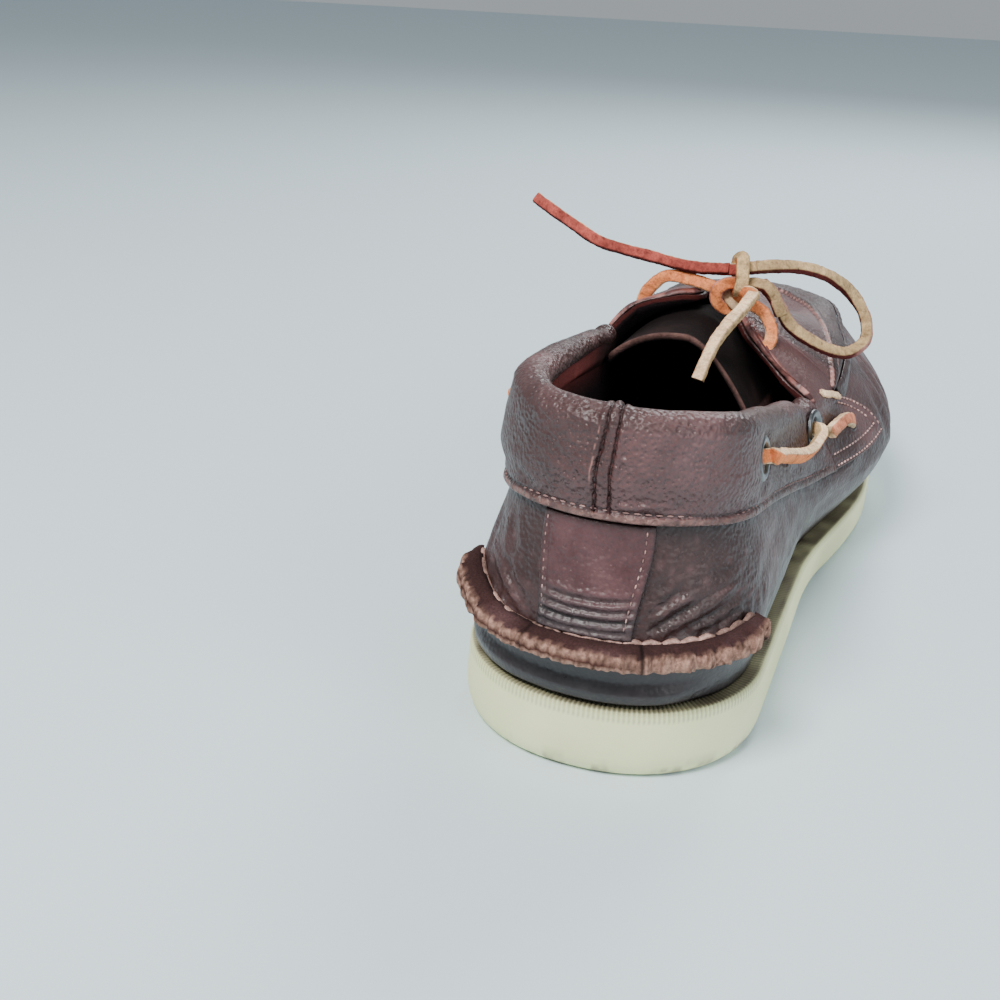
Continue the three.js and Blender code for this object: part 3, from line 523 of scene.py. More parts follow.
def creased(points, creases):
    """Height to add at each point, in mm."""
    flat = points.reshape(-1, 3)
    total = np.zeros(len(flat))
    for line, width, depth in creases:
        uv = along_line(line, 12)
        path = skin(uv[:, 0], uv[:, 1])
        near = np.all((flat > path.min(0) - 4 * width - 5) & (flat < path.max(0) + 4 * width + 5), axis=1)
        if not near.any():
            continue
        chosen = flat[near]
        a, b = path[:-1], path[1:]
        ab = b - a
        t = np.einsum("ijk,jk->ij", chosen[:, None] - a[None], ab) / np.einsum("jk,jk->j", ab, ab)
        t = clamp(t, 0, 1)
        gap = np.linalg.norm(chosen[:, None] - (a[None] + t[..., None] * ab[None]), axis=-1)
        best = gap.argmin(1)
        d = gap[np.arange(len(chosen)), best]
        share = (best + t[np.arange(len(chosen)), best]) / len(ab)
        fade = smooth(share, 0, 0.25) * (1 - smooth(share, 0.75, 1))
        trough = 0.55 * band(d, 1.9 * width, 0.9 * width) - band(d, 0, width)
        total[near] += depth * fade * trough
    return total.reshape(points.shape[:-1])


# Node materials

def new_material(name, roughness=0.6, metallic=0.0, specular=0.4):
    material = bpy.data.materials.new(name)
    material.use_nodes = True
    tree = material.node_tree
    shader = tree.nodes["Principled BSDF"]
    shader.inputs["Roughness"].default_value = roughness
    shader.inputs["Metallic"].default_value = metallic
    shader.inputs["Specular IOR Level"].default_value = specular
    return material, tree, shader


def put(tree, value, target):
    """Feed an input from another node's output, or set its value."""
    if isinstance(value, bpy.types.NodeSocket):
        tree.links.new(value, target)
    else:
        target.default_value = (*value, 1) if target.type == "RGBA" else value


def node(tree, kind, **settings):
    made = tree.nodes.new(kind)
    for key, value in settings.items():
        if key in made.inputs:
            put(tree, value, made.inputs[key])
        else:
            setattr(made, key, value)
    return made


def link(tree, a, b):
    tree.links.new(a, b)


def coordinates(tree, stretch=(1, 1, 1)):
    place = node(tree, "ShaderNodeTexCoord").outputs["Object"]
    return node(tree, "ShaderNodeMapping", Scale=stretch, Vector=place).outputs["Vector"]


def noise_node(tree, vector, scale, detail=3, rough=0.55, output="Fac"):
    made = node(tree, "ShaderNodeTexNoise", Scale=scale, Detail=detail, Roughness=rough, Vector=vector)
    return made.outputs[output]


def ramp(tree, value, *stops):
    """Colours or greys at positions from 0 to 1."""
    made = node(tree, "ShaderNodeValToRGB", Fac=value)
    elements = made.color_ramp.elements
    while len(elements) < len(stops):
        elements.new(0.5)
    for element, (position, colour) in zip(elements, stops):
        element.position = position
        element.color = (*colour, 1) if isinstance(colour, tuple) else (colour, colour, colour, 1)
    return made.outputs["Color"]


def blend_colour(tree, a, b, factor, mode="MIX"):
    made = node(tree, "ShaderNodeMix", data_type="RGBA", blend_type=mode)
    for name, kind, value in (("A", "RGBA", a), ("B", "RGBA", b), ("Factor", "VALUE", factor)):
        put(tree, value, [i for i in made.inputs if i.name == name and i.type == kind][0])
    return [o for o in made.outputs if o.type == "RGBA"][0]


def bump(tree, shader, height, strength, distance, under=None):
    made = node(tree, "ShaderNodeBump", Strength=strength, Distance=distance, Height=height)
    if under is not None:
        link(tree, under, made.inputs["Normal"])
    link(tree, made.outputs["Normal"], shader.inputs["Normal"])
    return made.outputs["Normal"]


def tint(tree):
    return node(tree, "ShaderNodeVertexColor", layer_name="tint").outputs["Color"]


def leather_material(name, rough=(0.34, 0.56), grain=0.6, relief=0.0005):
    """Waxed full-grain leather: the tint comes with the mesh, pebbles and scuffs from noise."""
    material, tree, shader = new_material(name, specular=0.5)
    vector = coordinates(tree)
    base = tint(tree)
    wide = noise_node(tree, vector, 38, 4)
    middle = noise_node(tree, vector, 170, 4, 0.6)
    fine = noise_node(tree, vector, 1100, 3, 0.6)
    patches = ramp(tree, wide, (0.35, 0), (0.7, 1))
    warm = blend_colour(tree, base, (1.12, 0.98, 0.96), patches, "MULTIPLY")
    dark = ramp(tree, middle, (0.3, 0.8), (0.62, 1.08))
    shaded = blend_colour(tree, warm, dark, 1.0, "MULTIPLY")
    pores = ramp(tree, fine, (0.3, 0.72), (0.5, 1.0), (0.75, 1.12))
    link(tree, blend_colour(tree, shaded, pores, 0.6, "MULTIPLY"), shader.inputs["Base Color"])
    rough_value = ramp(tree, middle, (0.3, rough[0]), (0.7, rough[1]))
    link(tree, rough_value, shader.inputs["Roughness"])
    warp = blend_colour(tree, vector, noise_node(tree, vector, 500, 2, 0.5, "Color"), 0.0006, "ADD")
    cells = node(tree, "ShaderNodeTexVoronoi", feature="SMOOTH_F1", Scale=900, Vector=warp)
    first = bump(tree, shader, cells.outputs["Distance"], grain, relief)
    second = bump(tree, shader, fine, grain * 0.5, 0.0003, under=first)
    bump(tree, shader, middle, 0.3, 0.0004, under=second)
    return material


def suede_material(name, fuzz=0.9):
    material, tree, shader = new_material(name, roughness=0.95, specular=0.15)
    vector = coordinates(tree)
    wide = noise_node(tree, vector, 90, 4)
    fine = noise_node(tree, vector, 1600, 4, 0.7)
    shade = ramp(tree, wide, (0.3, 0.72), (0.7, 1.2))
    base = blend_colour(tree, tint(tree), shade, 1.0, "MULTIPLY")
    fibre = ramp(tree, fine, (0.3, 0.6), (0.7, 1.35))
    link(tree, blend_colour(tree, base, fibre, 0.8, "MULTIPLY"), shader.inputs["Base Color"])
    under = bump(tree, shader, fine, fuzz, 0.0006)
    bump(tree, shader, noise_node(tree, vector, 420, 3), 0.5, 0.0008, under=under)
    return material


def rubber_material(name):
    material, tree, shader = new_material(name, roughness=0.62, specular=0.35)
    vector = coordinates(tree)
    wide = noise_node(tree, vector, 30, 5)
    fine = noise_node(tree, vector, 700, 4, 0.65)
    grime = noise_node(tree, vector, 210, 6, 0.75)
    patches = ramp(tree, wide, (0.35, 0), (0.75, 1))
    base = blend_colour(tree, tint(tree), (0.92, 0.94, 0.88), patches, "MULTIPLY")
    specks = ramp(tree, grime, (0.66, 0), (0.76, 0.28))
    grime_and_shade = blend_colour(tree, base, (0.3, 0.27, 0.2), specks)
    link(tree, grime_and_shade, shader.inputs["Base Color"])
    link(tree, ramp(tree, wide, (0.3, 0.5), (0.7, 0.72)), shader.inputs["Roughness"])
    under = bump(tree, shader, fine, 0.25, 0.0003)
    bump(tree, shader, noise_node(tree, vector, 120, 3), 0.2, 0.0006, under=under)
    return material


def metal_material(name):
    material, tree, shader = new_material(name, roughness=0.32, metallic=1.0)
    vector = coordinates(tree)
    scratch = noise_node(tree, coordinates(tree, (1, 1, 6)), 900, 3)
    patches = noise_node(tree, vector, 260, 3)
    colour = ramp(tree, patches, (0.3, (0.1, 0.105, 0.11)), (0.7, (0.23, 0.235, 0.24)))
    link(tree, colour, shader.inputs["Base Color"])
    link(tree, ramp(tree, scratch, (0.3, 0.24), (0.7, 0.46)), shader.inputs["Roughness"])
    bump(tree, shader, scratch, 0.1, 0.0001)
    return material


# Colours, as linear values
BROWN = np.array([0.047, 0.0215, 0.0205])
MAUVE = np.array([0.118, 0.060, 0.061])
SLATE = np.array([0.036, 0.029, 0.031])
PATCH_BROWN = np.array([0.056, 0.0225, 0.024])
RAW = np.array([0.42, 0.22, 0.19])
PINKISH = np.array([0.50, 0.22, 0.19])
BLACK = np.array([0.004, 0.003, 0.003])
THREAD_PALE = np.array([0.55, 0.34, 0.31])
THREAD_DARK = np.array([0.10, 0.045, 0.045])
RED_SUEDE = np.array([0.19, 0.045, 0.040])
# Near-black suede: painted shade for the inside of the shoe.
SHADED_SUEDE = np.array([0.012, 0.007, 0.008])
DARK_RED = np.array([0.14, 0.025, 0.022])
RUBBER_PALE = np.array([0.99, 1.0, 0.58])
# Rubber grime, also used as painted shade in the ledge's corner and in the tread's slits.
RUBBER_GRIME_AND_SHADE = np.array([0.30, 0.24, 0.16])
ORANGE = np.array([1.0, 0.30, 0.11])
TAN = np.array([0.62, 0.41, 0.21])
CREAM = np.array([1.0, 0.68, 0.42])
RED_BROWN = np.array([0.42, 0.085, 0.065])
ROOT_STRIP = np.array([0.62, 0.38, 0.32])

LEATHER = leather_material("burgundy_leather")
PEBBLED = leather_material("pebbled_leather", grain=0.9, relief=0.0008)
LOWER_LEATHER = leather_material("lower_leather", rough=(0.26, 0.46), grain=0.25)
SUEDE = suede_material("red_suede")
RAW_LEATHER = suede_material("raw_leather", fuzz=0.9)
LACE_LEATHER = suede_material("lace_leather", fuzz=0.55)
RUBBER = rubber_material("pale_rubber")
GUNMETAL = metal_material("gunmetal")
THREAD = suede_material("thread", fuzz=0.3)


def toned(points, base, light, size=30, seed=3, amount=1.0):
    """A base colour with patches of a lighter one."""
    q = smooth(noise(points, size, seed) + 0.5 * noise(points, size / 3, seed + 1), -0.2, 0.9) * amount
    return blend(base, light, q)


# Camera, where the photograph's own was, seen from the shoe
CAMERA_AT = np.array([72.8, -262.6, 189.4])
CAMERA_RIGHT = np.array([0.9415, 0.3369, 0.0])
CAMERA_UP = np.array([-0.1333, 0.3724, 0.9184])
CAMERA_ROLL = math.radians(2.07)
FOCAL_PIXELS = 1315.5
PICTURE = 1000
SENSOR = 36.0


def place_camera():
    data = bpy.data.cameras.new("camera")
    data.sensor_width = SENSOR
    data.lens = SENSOR * FOCAL_PIXELS / PICTURE
    data.clip_start = 0.01
    data.clip_end = 50
    camera = bpy.data.objects.new("camera", data)
    right = CAMERA_RIGHT * math.cos(CAMERA_ROLL) + CAMERA_UP * math.sin(CAMERA_ROLL)
    up = CAMERA_UP * math.cos(CAMERA_ROLL) - CAMERA_RIGHT * math.sin(CAMERA_ROLL)
    right = unit(right)
    up = unit(up - right * np.dot(up, right))
    back = np.cross(right, up)
    turn = Matrix((right, up, back)).transposed().to_4x4()
    camera.matrix_world = Matrix.Translation(Vector(world(CAMERA_AT)[0])) @ turn
    bpy.context.scene.collection.objects.link(camera)
    bpy.context.scene.camera = camera


place_camera()


# Laces

def catmull(points, count):
    """A smooth centripetal curve through points, evenly resampled."""
    p = np.asarray(points, float)
    p = np.vstack([2 * p[0] - p[1], p, 2 * p[-1] - p[-2]])
    dense = []
    for k in range(len(p) - 3):
        a, b, c, d = p[k:k + 4]
        t0 = 0.0
        t1 = t0 + np.linalg.norm(b - a) ** 0.5
        t2 = t1 + np.linalg.norm(c - b) ** 0.5
        t3 = t2 + np.linalg.norm(d - c) ** 0.5
        t = np.linspace(t1, t2, 24, endpoint=False)[:, None]
        ab = (t1 - t) / (t1 - t0) * a + (t - t0) / (t1 - t0) * b
        bc = (t2 - t) / (t2 - t1) * b + (t - t1) / (t2 - t1) * c
        cd = (t3 - t) / (t3 - t2) * c + (t - t2) / (t3 - t2) * d
        abc = (t2 - t) / (t2 - t0) * ab + (t - t0) / (t2 - t0) * bc
        bcd = (t3 - t) / (t3 - t1) * bc + (t - t1) / (t3 - t1) * cd
        dense.append((t2 - t) / (t2 - t1) * abc + (t - t1) / (t2 - t1) * bcd)
    dense = np.vstack(dense + [p[-2][None]])
    walked = walked_along(dense)
    at = np.linspace(0, walked[-1], count)
    return np.stack([np.interp(at, walked, dense[:, k]) for k in range(3)], -1), walked[-1]


def frames(path, up):
    """Directions across a path, starting near up and turning with it."""
    along = unit(np.gradient(path, axis=0))
    n = np.asarray(up, float)
    across = []
    for t in along:
        n = n - t * np.dot(n, t)
        n = n / np.linalg.norm(n)
        across.append(n)
    return np.array(across), np.cross(along, np.array(across)), along


# The lace's section: a squared thong with a grain face, a flesh face and two cut edges
SECTION_POINTS = 28
SECTION_POWER = 0.5


def thong_section(width, thick):
    angles = np.linspace(0, 2 * np.pi, SECTION_POINTS, endpoint=False) + np.pi / SECTION_POINTS
    c, s = np.cos(angles), np.sin(angles)
    across = np.sign(c) * np.abs(c) ** SECTION_POWER * width / 2
    return np.stack([across, np.sign(s) * np.abs(s) ** SECTION_POWER * thick / 2], -1), c, s


def facing_frames(path, toward):
    """Directions across a path whose broad face looks toward a point."""
    along = unit(np.gradient(path, axis=0))
    n = np.asarray(toward, float) - path
    n = unit(n - along * np.sum(n * along, axis=-1, keepdims=True))
    return n, np.cross(along, n), along


def thong(name, points, nodes, up=(0, 0, 1), toward=None, width=4.0, thick=3.0,
          tones=(ORANGE, TAN, CREAM, CREAM), seed=0, taper=0.0):
    """tones: face, back, edges that look up or right, edges that look down or left."""
    rough_length = np.linalg.norm(np.diff(np.asarray(points, float), axis=0), axis=1).sum()
    count = max(int(rough_length / 0.6), 14)
    path, length = catmull(points, count)
    n, b, along = frames(path, up) if toward is None else facing_frames(path, toward)
    section, c, s = thong_section(width, thick)
    swell = 1 + 0.06 * noise(path, 7, seed)
    if taper:
        share = np.linspace(0, 1, count)
        swell = swell * (1 - taper * smooth(share, 0.9, 1) - taper * (1 - smooth(share, 0, 0.1)))
    offsets = section[None] * swell[:, None, None]
    rings = path[:, None] + b[:, None] * offsets[..., :1] + n[:, None] * offsets[..., 1:]
    fuzz = 0.13 * noise(rings, 0.9, seed + 2) + 0.12 * noise(rings, 2.6, seed + 3)
    rings = rings + fuzz[..., None] * unit(rings - path[:, None])
    broad = smooth(np.abs(s) - np.abs(c), -0.22, 0.12)[None, :, None]
    face = np.where(s[:, None] > 0, tones[0], tones[1])[None]
    # The edges' colour is picked by which way each edge looks in the scene, up or right against down or left;
    # where the third and fourth tones differ, this is painted light and shade on the edges.
    sideways = b[:, None] * np.sign(c)[None, :, None]
    shaded = smooth(-0.5 * sideways[..., 0] - 0.85 * sideways[..., 2], -0.15, 0.15)[..., None]
    edge = mix(np.asarray(tones[2]), np.asarray(tones[3]), shaded)
    colour = mix(edge, face, broad)
    worn = smooth(noise(rings, 5, seed + 5), 0.1, 0.9)[..., None] * 0.3
    colour = mix(colour, tones[1], worn)
    stripe = noise(rings * 0.6, 0.8, seed + 4)
    speckle = smooth(noise(rings, 0.75, seed + 6), 0.15, 0.7)
    colour = colour * (1 + 0.25 * stripe - 0.4 * speckle)[..., None]
    corner = band(np.abs(s), np.abs(c), 0.16)[None, :, None]
    colour = colour * (1 - 0.22 * corner)
    k = rings.shape[1]
    tips = np.stack([path[0] - along[0] * 0.12, path[-1] + along[-1] * 0.12])
    first, last = count * k, count * k + 1
    quads = grid_faces(count, k, close_columns=True).tolist()
    quads += [(j, (j + 1) % k, first) for j in range(k)]
    quads += [((count - 1) * k + (j + 1) % k, (count - 1) * k + j, last) for j in range(k)]
    quads = [tuple(reversed(f)) for f in quads]
    cut = np.asarray(tones[1]) * 0.35
    colours = np.vstack([colour.reshape(-1, 3), cut[None], cut[None]])
    obj = make_piece(name, np.vstack([rings.reshape(-1, 3), tips]), quads, colours,
                     LACE_LEATHER, nodes, sharp=62)
    return obj


HIGH_VIEW = (20, -262.6, 400)


def make_free_lace():
    thong("long_end", LONG_END, ["lace_long_end"], up=(0, -1, 0.55), width=3.6, seed=1,
          tones=(RED_BROWN, DARK_RED, CREAM * 0.8, DARK_RED * 0.6))
    thong("big_loop", BIG_LOOP, ["lace_big_loop"], toward=HIGH_VIEW, width=3.8, seed=2,
          tones=(TAN * 0.85, TAN * 0.5, PINKISH, DARK_RED * 0.8))
    thong("short_end", SHORT_END, ["lace_short_end"], up=(0, -0.6, 0.8), width=3.8, seed=3,
          tones=(CREAM, TAN, TAN, ORANGE * 0.4))


PAD_FACE = SEAT + COLLAR_PAD
STAY_FACE = SEAT + OVERLAY
# Side lace and wing lace: turn, level and height above the leather
SIDE_LACE = [
    (0.2532, 3.132, -2.6), (0.2536, 3.128, -1), (0.2626, 3.106, 0.9), (0.26, 3.12, 1.9),
    (0.2568, 3.09, 2.6), (0.278, 2.79, 2.7), (0.302, 2.465, 2.5), (0.3355, 2.205, 2.3), (0.3692, 2.063, 2.1),
    (0.3969, 2.084, 2.1), (0.4179, 2.336, 2.2), (0.4279, 2.647, 2.4), (0.4325, 2.813, 1.6),
    (0.4358, 2.81, -0.4), (0.436, 2.8, -2.6),
]
WING_LACE = [
    (0.4667, 1.85, 2.0), (0.4788, 1.835, 2.4), (0.4901, 1.805, 2.6), (0.4979, 1.743, 2.1), (0.505, 1.68, 0.8),
    (0.507, 1.65, -0.8), (0.507, 1.65, -WALL - 1.7),
]


def on_side(side, rows, face):
    """Points of a lace over the leather; the inner side's lace is shifted to its own rear hole."""
    rear, front = HOLES["outer_rear"][0], HOLES["outer_front"][0]
    shift = -HOLES["inner_rear"][0] - rear
    points = []
    for s, v, height in rows:
        if side < 0:
            s = s + shift * (1 - clamp((s - rear) / (front - rear), 0, 1))
        points.append(over(side * s, v, face + height))
    return points


def make_fixed_lace():
    wing_tones = (mix(ORANGE, PINKISH, 0.5), TAN, CREAM, CREAM)
    for side, name in ((1, "outer"), (-1, "inner")):
        thong(f"{name}_side_run", on_side(side, SIDE_LACE, PAD_FACE), [f"lace_{name}_side"],
              up=(side, -0.3, 0.35), seed=4 if side > 0 else 5)
        thong(f"{name}_front_run", on_side(side, WING_LACE, STAY_FACE), [f"lace_{name}_front"],
              up=(side, -0.2, 0.5), tones=wing_tones, seed=6 if side > 0 else 7)
    inner = HOLES["inner_top"]
    run = [over(*inner, 0.2 - WALL), over(*inner, STAY_FACE + 1.4), *THROAT_RUN]
    thong("throat_run", run, ["lace_throat"], toward=CAMERA_AT, seed=8,
          tones=(ORANGE, TAN, ORANGE * 0.6, CREAM))


# The knot, piece by piece: name, colours, width, what the broad face looks at, points
KNOT_PIECES = [
    ("tan_wrap", (TAN * 1.15, TAN * 0.6, TAN * 0.8, ORANGE * 0.5), 4.3, CAMERA_AT,
     [(3.9, 145, 91.6), (2.9, 145.5, 95.6), (3.6, 143, 98.9), (5, 140, 100), (5.8, 137.6, 98.6),
      (6.2, 136.6, 94.5), (5.8, 137, 90.8), (5.1, 139.5, 88.4)]),
    ("orange_ring", (ORANGE, ORANGE * 0.5, PINKISH * 1.3, PINKISH), 3.9, CAMERA_AT,
     [(4.9, 141, 90.8), (3.1, 138.5, 92.3), (0.8, 137.2, 92), (-1.2, 136.8, 90), (-1.4, 137, 87.4),
      (-0.1, 138, 85), (2, 139.5, 83.8), (4.2, 141.5, 84.4)]),
    ("tan_piece", (CREAM * 0.85, TAN, TAN * 0.6, TAN * 0.5), 3.8, CAMERA_AT,
     [(-0.8, 142, 89.8), (1.7, 140, 88), (3.6, 139.4, 86.1), (5.6, 141, 84)]),
    ("fold", (ORANGE * 0.8, TAN, CREAM, ORANGE * 0.5), 3.9, CAMERA_AT,
     [(4.6, 141, 86.2), (6, 138.2, 88.7), (7.9, 136, 90.7), (9.9, 135, 90.8), (10.7, 135, 89.6)]),
    ("loop_tail", (TAN * 0.85, TAN * 0.5, PINKISH, DARK_RED), 3.8, HIGH_VIEW,
     [(18, 144.6, 83), (16.7, 143.8, 86), (15.2, 143.2, 89.2), (12.9, 142.2, 91.6), (10.1, 141.3, 92.4),
      (6.4, 141, 91.8)]),
    ("core", (RED_BROWN, DARK_RED, CREAM * 0.8, DARK_RED), 3.9, CAMERA_AT,
     [(-1.5, 141.6, 95.6), (2, 141.4, 96), (4.8, 141.4, 96.5)]),
    ("core_right", (TAN * 0.9, TAN * 0.6, PINKISH, DARK_RED * 0.8), 3.9, HIGH_VIEW,
     [(4.2, 141.4, 96.5), (7, 141.4, 97), (9.4, 141.7, 97.4), (11, 142.2, 97.5)]),
]


def make_knot():
    for index, (name, tones, width, toward, points) in enumerate(KNOT_PIECES):
        thong(f"knot_{name}", points, (), toward=toward, width=width, thick=2.7, tones=tones,
                           seed=10 + index)
    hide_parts("lace_knot")


make_free_lace()
make_fixed_lace()
make_knot()


# The upper's wall

def edge_round(d, radius):
    """Height share at a distance d in mm from an edge, rounded over a radius."""
    q = clamp(np.asarray(d, float) / radius, 0, 1)
    return np.sqrt(1 - (1 - q) ** 2)


def foxing(s, v):
    """The bulge of the wall's foot over the sole, in mm."""
    along = np.where(s > 0, 1 - smooth(s, 0.07, 0.16), 1 - 0.5 * smooth(-s, 0.3, 0.6))
    return 2.2 * smooth(v, 0.03, 0.1) * (1 - smooth(v, 0.24, 0.5)) * along


def upper_colour(s, v, points):
    base = toned(points, BROWN, MAUVE, size=34, seed=3, amount=0.8)
    lower = (1 - smooth(v, 0.8, 1.08)) * (1 - smooth(np.abs(s), 0.24, 0.5) * 0.75)
    base = blend(base, SLATE, lower)
    vamp = smooth(np.abs(s), 0.5, 0.7)[..., None] * 0.3
    base = mix(base, MAUVE, vamp * (1 - lower[..., None]))
    # Painted shadow on the wall just under the collar's lower edge.
    under = band(v, collar_seam(s), 0.05) * (np.abs(s) < 0.5)
    base = base * (1 - 0.62 * under[..., None])
    rub = smooth(noise(points * np.array([1, 1, 2.2]), 3.4, 61), 0.45, 0.85) * smooth(v, 1.1, 1.3)
    base = blend(base, MAUVE * 1.7, rub * 0.35)
    # Painted shadow: the wall's foot goes black in the gap above the sole.
    foot = 1 - smooth(v, 0.035, 0.075)
    return blend(base * 0.86, BLACK, foot)


def make_upper():
    back = 0.24
    s = spaced(-1, (-back, 150), (back, 281), (1, 150))[:-1]
    v = spaced(0, (0.3, 12), (0.95, 12), (1.5, 34), (2.3, 16), (TOP, 14))
    S, V = np.meshgrid(s, v, indexing="ij")
    outer = skin(S, V)
    normal = outward(S, V)
    lift = creased(outer, UPPER_CREASES)
    lift = lift + 0.2 * noise(outer, 14, 1) + 0.07 * noise(outer, 4, 2)
    pucker = band(V, 1.19, 0.1) * (np.abs(S) < 0.24)
    lift = lift + 0.22 * pucker * np.sin(S * HEEL_TURN * 2 * np.pi / THICK_PITCH + 2 * noise(outer, 9, 6))
    slope = np.where(S > 0, 0.3, -0.3)
    bent = 0.8 * noise(outer, 12, 75)
    tilted = outer * np.array([0.06, 0.06, 1])
    tilted[..., 2] += bent - slope * outer[..., 0]
    side = np.where(S > 0, 1.0, 0.55)
    field = smooth(np.abs(S), 0.05, 0.075) * (1 - smooth(np.abs(S), 0.17, 0.23))
    field = field * smooth(V, 1.08, 1.16) * (1 - smooth(V, 1.48, 1.75)) * side
    wrinkle = field * (1 - np.abs(noise(tilted, 1.25, 62))) ** 3
    lift = lift - 0.36 * wrinkle
    lift = lift * smooth(V, 0.0, 0.12) * (1 - smooth(V, TOP - 0.1, TOP))
    covered = (V > collar_seam(S) + 0.06) & (np.abs(S) < 0.55)
    lift = np.where(covered, np.minimum(lift, 0), lift) + foxing(S, V)
    outer = outer + normal * lift[..., None]
    inner_rows = np.linspace(0, 1, 26)[::-1] * TOP
    SI, VI = np.meshgrid(s, inner_rows, indexing="ij")
    inner = skin(SI, VI) - outward(SI, VI) * WALL
    rim_out = skin(s, TOP) + upward(s) * 0.35 - outward(s, TOP) * 0.45
    rim_in = skin(s, TOP) + upward(s) * 0.35 - outward(s, TOP) * (WALL - 0.45)
    sections = np.concatenate([outer, rim_out[:, None], rim_in[:, None], inner], 1)
    n, k = sections.shape[:2]
    front = 1 - smooth(np.abs(SI), 0.34, 0.46)
    # The lining is dark low down inside the shoe and red near the top at the front: painted shade inside the
    # shoe.
    suede = blend(SHADED_SUEDE, RED_SUEDE, smooth(VI, 2.4, 3.8) * front)
    suede = suede * (1 + 0.2 * noise(inner, 6, 8)[..., None])
    rim_colour = np.broadcast_to(DARK_RED * 0.35, (n, 2, 3))
    # Painted shade in the wrinkles' troughs, on top of their shape.
    shell = upper_colour(S, V, outer) * (1 - 0.55 * clamp(wrinkle, 0, 1))[..., None]
    colours = np.concatenate([shell, rim_colour, suede], 1)
    faces = loft_faces(sections, True)
    obj = make_piece("upper_wall", sections, faces, colours,
                     [LEATHER, SUEDE, LOWER_LEATHER], ["upper"])
    column = faces.min(1) % k
    turn = np.abs(s[faces.min(1) // k])
    glossy = (v[np.minimum(column, len(v) - 1)] < 0.96) & (turn < 0.55)
    kind = np.where(column >= len(v), 1, np.where(glossy, 2, 0))
    obj.data.polygons.foreach_set("material_index", kind.astype(np.int32))


make_upper()


# Collar

RAW_EDGE = 2.2
STITCH_GROOVE = 2.7
END_SCALE = 200.0
BACK_STITCH = 1.9
ROLL_LEVEL = 4.3


def back_seam(v):
    """The turn of the collar's upright seam."""
    return 0.004 + 0.009 * smooth(v, 2.8, 4.3)


def seam_ridge(d):
    """Two sewn grooves either side of a puffed seam, by distance from it in mm."""
    apart = np.abs(d)
    return 0.35 * band(d, 0, 1.1) - 0.75 * band(apart, BACK_STITCH, 0.42) + 0.3 * band(apart, 3.5, 0.9)


def near_holes(points):
    """Distance in mm from the nearest metal eyelet's middle."""
    best = np.full(points.shape[:-1], 1e3)
    for name in METAL_HOLES:
        s, v = HOLES[name]
        centre, n = skin(s, v), outward(s, v)
        d = points - centre
        best = np.minimum(best, np.linalg.norm(d - n * np.sum(d * n, -1, keepdims=True), axis=-1)
                          + 100 * (np.abs(np.sum(d * n, -1)) > 12))
    return best


def along_leg(points):
    step = np.linalg.norm(np.diff(points, axis=1), axis=-1)
    return np.concatenate([np.zeros((len(points), 1)), np.cumsum(step, axis=1)], 1)


